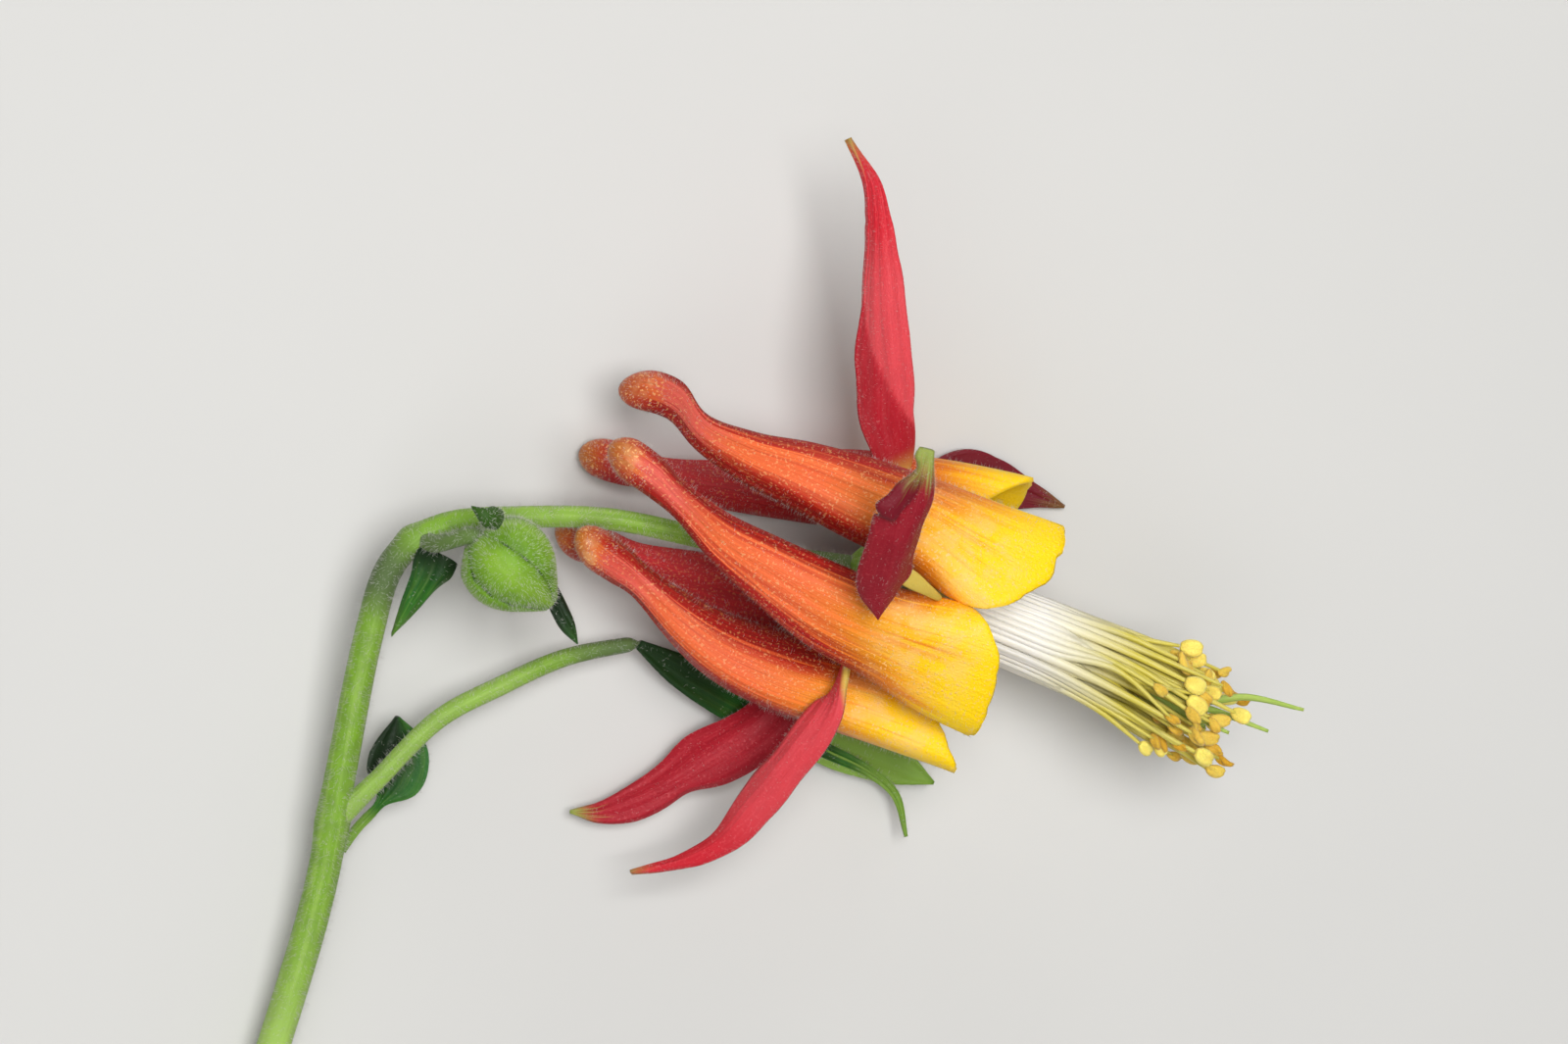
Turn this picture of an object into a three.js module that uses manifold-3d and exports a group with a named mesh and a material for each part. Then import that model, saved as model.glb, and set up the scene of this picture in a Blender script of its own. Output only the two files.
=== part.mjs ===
// A cut flowering stem of a red and yellow columbine, lying on a surface.
// Millimetres, +Z up, the surface at z = 0. The flower rests on its lowest petal, the bulb of
// a spur and the tip of a sepal, and the stem on its cut end.
import * as THREE from 'three';
import { mergeVertices } from 'three/addons/utils/BufferGeometryUtils.js';
import Module from 'manifold-3d';

const manifold = await Module();
manifold.setup();

// Driving dimensions.
const FLOWER_HEIGHT = 8.1; // centre of the receptacle above the surface
const FLOWER_HEADING = -21.9; // degrees from +X in plan, spurs to mouth
const FLOWER_LIFT = 6; // degrees that the mouth is raised
const BLADE_REACH = 8; // receptacle to the lip of a petal
const PETAL_WALL = 0.62;
const SEPAL_THICK = 0.66;
const BRACT_THICK = 0.62;
const STEM_RADIUS = 0.93; // at the cut end
const STALK_RADIUS = 0.62; // the flower's own stalk
const BRANCH_RADIUS = 0.55;
const FILAMENT_RADIUS = 0.26;
const STYLE_RADIUS = 0.3;
const BUD_RADIUS = 2.6;
// Middle of the whole part in plan, measured from the receptacle, so that the origin lies
// under the middle of the bounding box.
const MIDDLE = { x: -10.4, y: -16.38 };

const { cos, sin, abs, min, max, sqrt, floor, PI } = Math;
const rad = THREE.MathUtils.degToRad;
const vec = (x, y, z) => new THREE.Vector3(x, y, z);

// Seeded random numbers from 0 to 1.
function seeded(seed) {
  let state = seed;
  return () => {
    state = (state * 16807) % 2147483647;
    return state / 2147483647;
  };
}

// Smooth run through evenly spaced values, t from 0 to 1.
function blend(values, t) {
  const last = values.length - 1;
  const at = min(max(t, 0), 1) * last;
  const i = min(floor(at), last - 1);
  const f = at - i;
  const b = values[i];
  const c = values[i + 1];
  const a = i > 0 ? values[i - 1] : 2 * b - c;
  const d = i + 2 <= last ? values[i + 2] : 2 * c - b;
  return b + 0.5 * f * (c - a + f * (2 * a - 5 * b + 4 * c - d + f * (3 * (b - c) + d - a)));
}

// ---- Closed bodies -----------------------------------------------------------------------

// A closed body from rings of equally many points, closed by a pole at each end. The quads of
// the columns that slants() picks are split the other way.
function ringBody(rings, firstPole, lastPole, slants = () => false) {
  const around = rings[0].length;
  const points = [firstPole, ...rings.flat(), lastPole];
  const end = points.length - 1;
  const at = (ring, column) => 1 + ring * around + (column % around);
  const index = [];
  for (let column = 0; column < around; column++) {
    index.push(0, at(0, column + 1), at(0, column));
    index.push(end, at(rings.length - 1, column), at(rings.length - 1, column + 1));
    for (let ring = 0; ring + 1 < rings.length; ring++) {
      const [a, b] = [at(ring, column), at(ring, column + 1)];
      const [c, d] = [at(ring + 1, column), at(ring + 1, column + 1)];
      if (slants(column)) index.push(a, b, c, b, d, c);
      else index.push(a, d, c, a, b, d);
    }
  }
  const geometry = new THREE.BufferGeometry().setFromPoints(points);
  geometry.setIndex(index);
  return geometry;
}

function toSolid(geometry) {
  const bare = geometry.clone();
  bare.deleteAttribute('normal');
  bare.deleteAttribute('uv');
  const merged = mergeVertices(bare, 1e-5);
  return new manifold.Manifold(new manifold.Mesh({
    numProp: 3,
    vertProperties: new Float32Array(merged.attributes.position.array),
    triVerts: new Uint32Array(merged.index.array),
  }));
}

function toGeometry(solid) {
  const mesh = solid.getMesh();
  const geometry = new THREE.BufferGeometry();
  const points = new Float32Array(mesh.vertProperties);
  geometry.setAttribute('position', new THREE.BufferAttribute(points, 3));
  geometry.setIndex(new THREE.BufferAttribute(new Uint32Array(mesh.triVerts), 1));
  return geometry;
}

const fused = (geometries) =>
  toGeometry(geometries.map(toSolid).reduce((whole, piece) => whole.add(piece)));

// Takes off what would reach under the surface and leaves a flat spot there.
function flattened(geometry) {
  const ground = new THREE.BoxGeometry(200, 200, 10).translate(0, 0, -5);
  return toGeometry(toSolid(geometry).subtract(toSolid(ground)));
}

// A round stalk along a curve, its radius given by values spaced evenly along it.
function stalk(points, radii, steps, sides) {
  const curve = new THREE.CatmullRomCurve3(points, false, 'catmullrom', 0.5);
  const rings = [];
  for (let i = 0; i <= steps; i++) {
    const t = i / steps;
    const tangent = curve.getTangent(t);
    const across = vec(0, 0, 1).cross(tangent).normalize();
    const over = tangent.clone().cross(across);
    const radius = blend(radii, t);
    const ring = [];
    for (let k = 0; k < sides; k++) {
      const turn = (2 * PI * k) / sides;
      ring.push(curve.getPoint(t)
        .addScaledVector(across, radius * cos(turn))
        .addScaledVector(over, radius * sin(turn)));
    }
    rings.push(ring);
  }
  return ringBody(rings, curve.getPoint(0), curve.getPoint(1));
}

// A thin blade along a curve. Its half widths, the directions of its width and the rise of its
// edges are values spaced evenly along it.
function blade({ spine, half, sides, dish, thick, steps, columns }) {
  const curve = new THREE.CatmullRomCurve3(spine, false, 'catmullrom', 0.5);
  const middle = (t, u) => {
    const tangent = curve.getTangent(t);
    const side = vec(...['x', 'y', 'z'].map((axis) => blend(sides.map((s) => s[axis]), t)));
    side.addScaledVector(tangent, -side.dot(tangent)).normalize();
    const up = tangent.clone().cross(side);
    const width = blend(half, t);
    const rise = blend(dish, t) * u * u;
    return { point: curve.getPoint(t).addScaledVector(side, width * u).addScaledVector(up, rise), up };
  };
  const rings = [];
  for (let i = 0; i <= steps; i++) {
    const t = i / steps;
    const top = [];
    const bottom = [];
    for (let j = 0; j <= columns; j++) {
      const { point, up } = middle(t, 1 - (2 * j) / columns);
      top.push(point.clone().addScaledVector(up, thick / 2));
      bottom.unshift(point.clone().addScaledVector(up, -thick / 2));
    }
    rings.push([...top, ...bottom]);
  }
  const slants = (column) => column > columns;
  return ringBody(rings, middle(0, 0).point, middle(1, 0).point, slants);
}

// ---- The flower's own frame --------------------------------------------------------------

const heading = rad(FLOWER_HEADING);
const lift = rad(FLOWER_LIFT);
const centre = vec(0, 0, FLOWER_HEIGHT);
const forward = vec(cos(lift) * cos(heading), cos(lift) * sin(heading), sin(lift));
const upward = vec(-sin(lift) * cos(heading), -sin(lift) * sin(heading), cos(lift));
const sideward = forward.clone().cross(upward);

const outward = (turn) =>
  upward.clone().multiplyScalar(cos(rad(turn))).addScaledVector(sideward, sin(rad(turn)));
const around = (turn) =>
  upward.clone().multiplyScalar(-sin(rad(turn))).addScaledVector(sideward, cos(rad(turn)));

// A place in the flower: along its axis from the receptacle, out from the axis, and turned
// about it from the top.
const inFlower = (along, out, turn) =>
  centre.clone().addScaledVector(forward, along).addScaledVector(outward(turn), out);

// ---- Petals ------------------------------------------------------------------------------

// Values from the end of the spur's bulb to the lip, all at the same ten stations.
const PETAL = {
  along: [-18, -16.6, -15, -13.3, -10.6, -7.4, -3.8, 0, 4, 8],
  out: [4.9, 5.0, 5.1, 5.2, 5.7, 6.1, 6.15, 5.85, 5.65, 5.6],
  deep: [1.15, 1.2, 1.12, 0.97, 1.45, 1.95, 2.3, 2.45, 2.45, 2.4],
  wide: [1.15, 1.2, 1.12, 0.97, 1.35, 1.85, 2.35, 2.6, 3.1, 3.35],
  egg: [0, 0, 0, 0, 0.1, 0.25, 0.3, 0.35, 0.5, 0.6], // outer side wider than the inner
};
const BULB_END = 0.14; // share of the length that is rounded off
const TUBE_END = 0.79; // where the closed spur opens on its inner side
const CAVITY_END = 0.52; // how far back the spur is hollow
const LIP_ROUNDNESS = 0.62;

function petal({
  turn, tip, shift = 0, droop = 0, spread = 0, tilt = 0, lean = 0, point = LIP_ROUNDNESS, steps,
}) {
  const place = (t, angle, inset) => {
    const station = blend(PETAL.along, t);
    const along = shift + station * (station > 0 ? tip / BLADE_REACH : 1);
    const round = t < BULB_END ? sqrt(max(0, 1 - (1 - t / BULB_END) ** 2)) : 1;
    const deep = max(0, blend(PETAL.deep, t) * round - inset);
    const wide = max(0, blend(PETAL.wide, t) * round - inset);
    const out = blend(PETAL.out, t) + blend([droop, 0, spread, spread, spread + tilt], t);
    const about = blend(turn, t);
    return inFlower(along, out, about)
      .addScaledVector(outward(about), deep * cos(angle))
      .addScaledVector(around(about), wide * sin(angle) * (1 + blend(PETAL.egg, t) * cos(angle)));
  };
  const lipAt = (angle) =>
    TUBE_END + (1 - TUBE_END) * ((1 + cos(angle + rad(lean))) / 2) ** point;
  const ring = (t, share, inset) => {
    const points = [];
    for (let k = 0; k < steps.sides; k++) {
      const angle = (2 * PI * k) / steps.sides;
      points.push(place(t + share * (lipAt(angle) - t), angle, inset));
    }
    return points;
  };
  const outer = [];
  const inner = [];
  for (let i = 1; i <= steps.bulb; i++) {
    outer.push(ring(BULB_END * (1 - cos((PI / 2) * (i / steps.bulb))), 0, 0));
  }
  for (let i = 1; i <= steps.tube; i++) {
    outer.push(ring(BULB_END + (TUBE_END - BULB_END) * (i / steps.tube), 0, 0));
  }
  for (let i = 1; i <= steps.lip; i++) {
    outer.push(ring(TUBE_END, i / steps.lip, 0));
    inner.unshift(ring(TUBE_END, i / steps.lip, PETAL_WALL));
  }
  for (let i = steps.cavity; i > 0; i--) {
    inner.push(ring(CAVITY_END + (TUBE_END - CAVITY_END) * (i / steps.cavity), 0, PETAL_WALL));
  }
  const pole = place(0, 0, 0);
  const floorOfCavity = place(CAVITY_END, 0, 100);
  return ringBody([...outer, ...inner], pole, floorOfCavity);
}

const PETAL_STEPS = { sides: 14, bulb: 3, tube: 12, lip: 5, cavity: 3 };

// Turn about the flower's axis at each station: the spurs lean to one side of their blades.
// droop, spread and tilt move the bulb, the blade and the lip away from the axis, lean turns
// the longest part of the lip, and point makes it more or less pointed.
const PETALS = {
  petal_top_front: {
    turn: [-91, -86, -70, -46, -36, -34, -33, -34, -29, -25.5],
    shift: -0.25, droop: -0.5, tip: 7.8, lean: 28, point: 1.1,
  },
  petal_middle_front: {
    turn: [-12, -9, -4.5, 3, 13, 18, 23, 26, 28, 28.5], spread: 0.15, tip: 6.9, lean: -42,
  },
  petal_bottom_front: {
    turn: [58, 66, 74, 79, 80, 84, 88, 92, 95, 97], shift: 0.3, spread: 1, tip: 6.8, lean: 15,
    point: 0.75,
  },
  petal_top_back: {
    turn: [182, 183, 184, 187, 192, 201, 214, 228, 235, 237],
    shift: -0.5, tip: 6.9, tilt: 0.6, droop: 0.5, resting: true,
  },
  petal_bottom_back: {
    turn: [118, 117, 118, 122, 132, 142, 152, 160, 164, 165], shift: -0.4, tip: 7.7, resting: true,
  },
};

// ---- Sepals ------------------------------------------------------------------------------

// Each sepal starts at the receptacle as a narrow claw, passes between two petals at the turn
// given and then runs free through its own points to the tip. A turned one has left the
// petals' direction by the end of its claw.
const CLAW_STATIONS = [[-0.9, 2.95], [-0.7, 5.4], [-0.5, 7.9]];

function sepal({ gap, free, sides, half, dish, claw = CLAW_STATIONS, turned = false }) {
  return blade({
    spine: [...claw.map(([along, out]) => inFlower(along, out, gap)), ...free],
    half,
    sides: turned ? [around(gap), ...sides] : [around(gap), around(gap), ...sides],
    dish,
    thick: SEPAL_THICK,
    steps: 16,
    columns: 6,
  });
}

const SEPALS = {
  sepal_up: {
    gap: 274,
    turned: true,
    claw: [[-1.2, 2.95], [-2.0, 4.4], [-2.4, 5.9]],
    free: [vec(-0.6, 8.9, 9.5), vec(-1.0, 11.6, 10.0), vec(-1.4, 14.6, 10.2), vec(-1.5, 17.7, 10.1),
      vec(-1.5, 20.0, 9.9), vec(-1.7, 22.2, 9.7), vec(-2.7, 24.8, 9.6)],
    sides: [vec(-0.8, 0.1, 0.55), vec(-0.75, 0, 0.6), vec(-0.75, 0, 0.6), vec(-0.75, 0, 0.6),
      vec(-0.7, 0, 0.6), vec(-0.6, 0, 0.7)],
    half: [0.38, 0.6, 1.8, 2.15, 2.2, 2.1, 1.65, 1.2, 0.65, 0.1],
    dish: [0, 0, 0.2, 0.6, 0.7, 0.6, 0.3, 0],
  },
  sepal_front: {
    gap: -3.5,
    claw: [[-0.9, 2.95], [-0.5, 5.4], [0.3, 7.9]],
    free: [vec(-3.0, -0.6, 18.6), vec(-3.1, 1.9, 20.8), vec(-2.9, 4.5, 22.5),
      vec(-2.4, 6.8, 23.4), vec(-1.95, 8.7, 23.8)],
    sides: [vec(-0.9, -0.3, 0.1), vec(-1, -0.1, 0.1), vec(-0.95, 0.1, 0.1), vec(-0.95, 0.2, 0.1)],
    half: [0.38, 0.38, 0.45, 0.6, 1.5, 1.6, 1.35, 0.45],
    dish: [0, 0, -0.2, -0.6, -0.6, -0.4, 0],
  },
  sepal_lower_front: {
    gap: 59,
    free: [vec(-4.9, -7.4, 12.1), vec(-6.6, -10.1, 10.8), vec(-8.1, -12.5, 9.3), vec(-9.6, -14.7, 7.9),
      vec(-11.6, -16.1, 6.6), vec(-14.2, -16.9, 5.5)],
    sides: [vec(-0.6, 0.4, -0.65), vec(-0.55, 0.4, -0.7), vec(-0.5, 0.4, -0.75), vec(-0.4, 0.5, -0.65)],
    half: [0.38, 0.42, 0.9, 1.15, 1.3, 1.35, 1.05, 0.5, 0.1],
    dish: [0, 0, 0.3, 0.6, 0.6, 0.4, 0],
  },
  sepal_lower_back: {
    gap: 126,
    free: [vec(-4.3, -6.9, 4.1), vec(-6.4, -9.1, 3.6), vec(-8.6, -10.7, 2.9), vec(-10.8, -12.2, 2.3),
      vec(-13.1, -13.3, 1.9), vec(-15.2, -14.0, 1.6), vec(-17.0, -14.0, 1.3)],
    sides: [vec(-0.6, 0.5, -0.5), vec(-0.6, 0.7, -0.3), vec(-0.4, 0.9, -0.2), vec(-0.3, 0.95, -0.1)],
    half: [0.38, 0.38, 0.9, 1.5, 1.7, 1.45, 1.1, 0.7, 0.1],
    dish: [0, 0, 0.3, 0.5, 0.5, 0.3, 0],
  },
  sepal_right_back: {
    gap: 191,
    claw: [[-0.9, 2.95], [-0.7, 5.0], [-0.2, 7.0]],
    free: [vec(3.6, 2.5, 0.5), vec(6.1, 4.4, 0.4), vec(8.3, 4.6, 0.3), vec(10.5, 4.0, 0.3),
      vec(12.6, 3.3, 0.6)],
    sides: [vec(-0.4, 0.9, 0), vec(0, 1, 0), vec(0.1, 1, 0), vec(0.2, 1, 0)],
    half: [0.38, 0.38, 0.6, 1.75, 2.25, 1.65, 0.95, 0.1],
    dish: [0, 0, 0.2, 0.5, 0.5, 0.3, 0.2, 0],
    resting: true,
  },
};

// ---- Stamens and pistils -----------------------------------------------------------------

// Rings of filaments: how many, the radius of their feet and that of their ends.
const STAMEN_RINGS = [
  { count: 12, foot: 1.36, end: 1.9 },
  { count: 18, foot: 1.98, end: 3.1 },
];
const COLUMN_FOOT = 1.1; // along the flower's axis
const SHORTEST_STAMEN = 17; // receptacle to the anther
const STAMEN_SPREAD = 5.4; // the longest is this much longer
const ANTHER = { thick: 0.42, broad: 0.54, long: 0.84 };
const COLUMN_SAG = 0.7; // of the stamens' ends, to the flower's lower side

function section(radius, sides) {
  const corners = [];
  for (let k = 0; k < sides; k++) {
    const turn = (2 * PI * k) / sides;
    corners.push(new THREE.Vector2(radius * cos(turn), radius * sin(turn)));
  }
  return new THREE.Shape(corners);
}

const stamenEnd = (turn, end, length, swing) =>
  inFlower(length, end, turn + swing).addScaledVector(sideward, COLUMN_SAG);

function filament(turn, foot, end, length, swing) {
  const path = new THREE.CatmullRomCurve3([
    inFlower(COLUMN_FOOT, foot, turn), inFlower(5.5, foot, turn), inFlower(10, foot + 0.12, turn),
    inFlower(0.5 * length + 5, foot + 0.4 * (end - foot), turn + 0.4 * swing)
      .addScaledVector(sideward, 0.3 * COLUMN_SAG),
    stamenEnd(turn, end, length, swing),
  ], false, 'catmullrom', 0.5);
  return new THREE.ExtrudeGeometry(section(FILAMENT_RADIUS, 5),
    { steps: 4, bevelEnabled: false, extrudePath: path });
}

// Filaments stand in two rings round the styles, close together up to the mouth, and part
// a little towards their uneven ends, each with its anther.
function stamens() {
  const random = seeded(20);
  const foot = new THREE.LatheGeometry(
    [[0, 0], [2.35, 0], [2.35, 0.5], [0, 0.7]].map(([x, y]) => new THREE.Vector2(x, y)), 14);
  foot.applyMatrix4(new THREE.Matrix4().makeBasis(outward(0), forward, outward(-90)));
  foot.translate(...inFlower(COLUMN_FOOT - 0.2, 0, 0).toArray());
  const pieces = [foot];
  for (const { count, foot: footRadius, end } of STAMEN_RINGS) {
    for (let n = 0; n < count; n++) {
      const turn = (360 * n) / count + 4 * random();
      const length = SHORTEST_STAMEN + STAMEN_SPREAD * random();
      const reach = end * (0.75 + 0.3 * random());
      const swing = 16 * (random() - 0.5);
      pieces.push(filament(turn, footRadius, reach, length, swing));
      const anther = new THREE.IcosahedronGeometry(1, 0);
      anther.scale(ANTHER.thick, ANTHER.broad, ANTHER.long);
      anther.rotateX(PI * random());
      anther.rotateZ(2 * PI * random());
      anther.translate(...stamenEnd(turn, reach, length, swing).toArray());
      pieces.push(anther);
    }
  }
  return fused(pieces);
}

// Length, distance from the axis and turn of the five style tips.
const STYLE_TIPS = [
  [25.3, 2.6, 274], [23.9, 0.7, 262], [21.6, 0.7, 20], [20.4, 0.5, 120], [19.4, 0.4, 180],
];
const CARPEL_FOOT = 1.95; // along the flower's axis
const STYLE_GAP = 0.27; // from the axis, while the styles run side by side

// Five carpels joined round a core, each with its own style and bent tip.
function pistils() {
  const core = stalk([inFlower(CARPEL_FOOT, 0, 0), inFlower(8, 0, 0), inFlower(14, 0, 0)],
    [0.5, 0.35, 0.2], 4, 6);
  const styles = STYLE_TIPS.map(([length, out, turn], n) => {
    const start = 72 * n;
    return stalk([
      inFlower(CARPEL_FOOT, STYLE_GAP, start), inFlower(8, STYLE_GAP, start),
      inFlower(14, STYLE_GAP, start),
      inFlower(0.75 * length, 0.15 * out, turn).addScaledVector(sideward, 0.5 * COLUMN_SAG),
      inFlower(0.87 * length, 0.75 * out, turn).addScaledVector(sideward, 0.8 * COLUMN_SAG),
      inFlower(length, out, turn).addScaledVector(sideward, COLUMN_SAG),
    ], [0.4, 0.4, 0.34, STYLE_RADIUS, 0.28, 0.2], 9, 6);
  });
  return fused([core, ...styles]);
}

// ---- Stem, bud and bracts ----------------------------------------------------------------

const MAIN_STEM = [
  vec(-44.0, -57.4, 0.88), vec(-39.0, -41.7, 1.8), vec(-34.2, -26.6, 2.8), vec(-31.8, -17.9, 3.8),
  vec(-30.7, -11.0, 4.8), vec(-29.3, -3.1, 6.0), vec(-28.0, 1.2, 6.9), vec(-25.2, 3.2, 7.4),
  vec(-20.4, 3.6, 7.1), vec(-15.8, 3.4, 6.7), vec(-11.4, 2.5, 6.7), vec(-6.4, 1.3, 7.1),
  vec(-1.2, 0.4, 7.9),
];
const SIDE_BRANCH = [
  vec(-30.9, -13.6, 4.5), vec(-28.7, -11.4, 4.9), vec(-25.2, -8.1, 4.5), vec(-21.5, -6.3, 3.9),
  vec(-17.5, -4.8, 3.1), vec(-13.1, -4.1, 2.5),
];
const BUD_STALK = [
  vec(-26.5, 2.4, 7.2), vec(-25.9, 2.3, 8.7), vec(-25.3, 2.6, 9.8), vec(-24.65, 3.0, 10.45),
];

const knot = (place, radius) =>
  new THREE.SphereGeometry(radius, 8, 6).translate(...place.toArray());

function stem() {
  const receptacle = new THREE.LatheGeometry(
    [[0, -2.6], [0.9, -2.2], [2.4, -1.2], [2.7, -0.4], [2.3, 0.5], [0, 0.6]]
      .map(([x, y]) => new THREE.Vector2(x, y)), 12);
  receptacle.applyMatrix4(new THREE.Matrix4().makeBasis(outward(0), forward, outward(-90)));
  receptacle.translate(...centre.toArray());
  return flattened(fused([
    stalk(MAIN_STEM, [STEM_RADIUS, 0.95, 0.93, 0.9, 0.86, 0.8, 0.78, 0.72, STALK_RADIUS,
      STALK_RADIUS, STALK_RADIUS, 0.64, 0.8], 44, 8),
    stalk(SIDE_BRANCH, [0.6, BRANCH_RADIUS, BRANCH_RADIUS, BRANCH_RADIUS, 0.5, 0.42], 14, 8),
    stalk(BUD_STALK, [0.6, 0.6, 0.6, 0.6], 6, 8),
    knot(MAIN_STEM[4].clone().lerp(MAIN_STEM[3], 0.4), 1.05),
    knot(vec(-26.7, 2.4, 7.2), 1.0),
    receptacle,
  ]));
}

const BUD = { foot: vec(-23.9, 2.95, 10.8), tip: vec(-19.8, -0.9, 10.6), steps: 11, sides: 20 };
const BUD_SWELL = [0.42, 0.84, 0.98, 1.0, 0.93, 0.76, 0.5, 0.2]; // shares of its radius
const SEAM_DEPTH = 0.13; // share of the radius
const SEAM_TWIST = 0.6; // radians from foot to tip

// Five folded sepals meet in seams that run to the tip of the bud.
function bud() {
  const along = BUD.tip.clone().sub(BUD.foot);
  const length = along.length();
  along.normalize();
  const across = vec(0, 0, 1).cross(along).normalize();
  const over = along.clone().cross(across);
  const place = (share) => BUD.foot.clone().addScaledVector(along, length * share);
  const rings = [];
  for (let i = 0; i <= BUD.steps; i++) {
    const t = i / BUD.steps;
    const ring = [];
    for (let k = 0; k < BUD.sides; k++) {
      const turn = (2 * PI * k) / BUD.sides;
      const fold = abs(sin(2.5 * turn + SEAM_TWIST * t)); // 0 in each of the five seams
      const radius = BUD_RADIUS * blend(BUD_SWELL, t) * (1 - SEAM_DEPTH * (1 - fold) ** 2);
      ring.push(place(t)
        .addScaledVector(across, radius * cos(turn))
        .addScaledVector(over, radius * sin(turn)));
    }
    rings.push(ring);
  }
  return ringBody(rings, place(-0.01), place(1.04));
}

const flat = (x, y) => vec(x, y, 0);

function bractUpper() {
  return blade({
    spine: [vec(-25.8, 1.4, 8.4), vec(-26.0, 0.3, 8.8), vec(-26.8, -1.2, 8.5), vec(-28.1, -2.9, 7.6)],
    half: [1.3, 1.5, 1.3, 0.85, 0.1],
    sides: [flat(-1, 0.2), flat(-1, 0.5)],
    dish: [0.3, 0.5, 0.2],
    thick: BRACT_THICK,
    steps: 10,
    columns: 4,
  });
}

function bractBud() {
  return blade({
    spine: [vec(-19.6, -0.9, 8.1), vec(-19.0, -1.9, 8.6), vec(-18.1, -3.4, 8.8)],
    half: [0.3, 0.75, 0.7, 0.1],
    sides: [flat(-0.7, -0.5), flat(-0.7, -0.5)],
    dish: [0.1, 0.2, 0.1],
    thick: BRACT_THICK,
    steps: 8,
    columns: 4,
  });
}

function bractLower() {
  return blade({
    spine: [vec(-30.4, -15.6, 2.8), vec(-29.5, -14.4, 2.8), vec(-28.3, -13.0, 3.0),
      vec(-27.5, -11.6, 3.1), vec(-27.2, -10.0, 3.1), vec(-27.3, -8.0, 3.2)],
    half: [0.35, 0.35, 0.35, 0.5, 1.5, 1.75, 1.3, 0.15],
    sides: [flat(-0.8, 0.5), flat(-1, 0.2), flat(-1, 0)],
    dish: [0, 0, 0.3, 0.4, 0.2],
    thick: BRACT_THICK,
    steps: 16,
    columns: 4,
  });
}

// One leaf of three lobes on a narrow foot.
function bractBack() {
  const shared = { thick: BRACT_THICK, columns: 4 };
  return fused([
    blade({
      ...shared,
      spine: [vec(-12.9, -4.5, 2.4), vec(-10.3, -6.1, 2.0), vec(-6.7, -8.1, 1.1), vec(-3.7, -9.4, 0.8),
        vec(-1.4, -10.4, 1.0), vec(1.6, -11.4, 1.2), vec(4.6, -12.8, 1.5)],
      half: [0.3, 0.9, 1.2, 1.25, 1.1, 1.35, 1.35, 0.4],
      sides: [flat(0.5, 0.9), flat(0.4, 0.9), flat(0.4, 0.9)],
      dish: [0.2, 0.3, 0.2],
      steps: 16,
    }),
    blade({
      ...shared,
      spine: [vec(-5.2, -8.9, 1.15), vec(-2.0, -10.7, 1.1), vec(0.6, -12.0, 1.3),
        vec(2.3, -13.5, 1.5), vec(2.9, -15.9, 1.8)],
      half: [0.6, 0.7, 0.45, 0.34, 0.31],
      sides: [flat(0.4, 0.9), flat(0.9, 0.4)],
      dish: [0.1, 0.2, 0.1],
      steps: 10,
    }),
    blade({
      ...shared,
      spine: [vec(-5.6, -8.4, 1.2), vec(-2.6, -8.6, 1.0), vec(0.2, -8.6, 0.9), vec(2.6, -9.4, 0.9)],
      half: [0.6, 0.8, 0.9, 0.7, 0.1],
      sides: [flat(0.1, 1), flat(0.2, 1)],
      dish: [0.1, 0.2, 0.1],
      steps: 10,
    }),
  ]);
}

// ---- The whole ---------------------------------------------------------------------------

const plant = new THREE.Group();
plant.position.set(-MIDDLE.x, -MIDDLE.y, 0);

function addPart(name, geometry, color, roughness) {
  const material = new THREE.MeshStandardMaterial({ color, roughness, metalness: 0 });
  const mesh = new THREE.Mesh(geometry, material);
  mesh.name = name;
  plant.add(mesh);
}

addPart('stem', stem(), 0x8fae3c, 0.6);
for (const [name, { resting, ...shape }] of Object.entries(PETALS)) {
  const body = petal({ ...shape, steps: PETAL_STEPS });
  addPart(name, resting ? flattened(body) : body, 0xe2502c, 0.45);
}
for (const [name, { resting, ...shape }] of Object.entries(SEPALS)) {
  const body = sepal(shape);
  addPart(name, resting ? flattened(body) : body, 0xc4222f, 0.5);
}
addPart('stamens', stamens(), 0xe9e08a, 0.6);
addPart('pistils', pistils(), 0xa9bf55, 0.5);
addPart('bud', bud(), 0x9fbf3a, 0.7);
addPart('bract_upper', bractUpper(), 0x3f8a2c, 0.6);
addPart('bract_bud', bractBud(), 0x3f8a2c, 0.6);
addPart('bract_lower', bractLower(), 0x4f9a34, 0.6);
addPart('bract_back', bractBack(), 0x2f7426, 0.6);

export default plant;
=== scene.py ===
"""A cut flowering stem of a red and yellow columbine, lying on a pale table.

Each operator grows one kind of piece, the petals, sepals, stamens, pistils, stem, bud or
bracts, in the place of its plain solid, and the last one sets the table, lamps and camera.
Lengths are millimetres in the tables of shapes and metres in the settings.
"""

import math

import bpy
import numpy as np
from mathutils import Matrix


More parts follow.
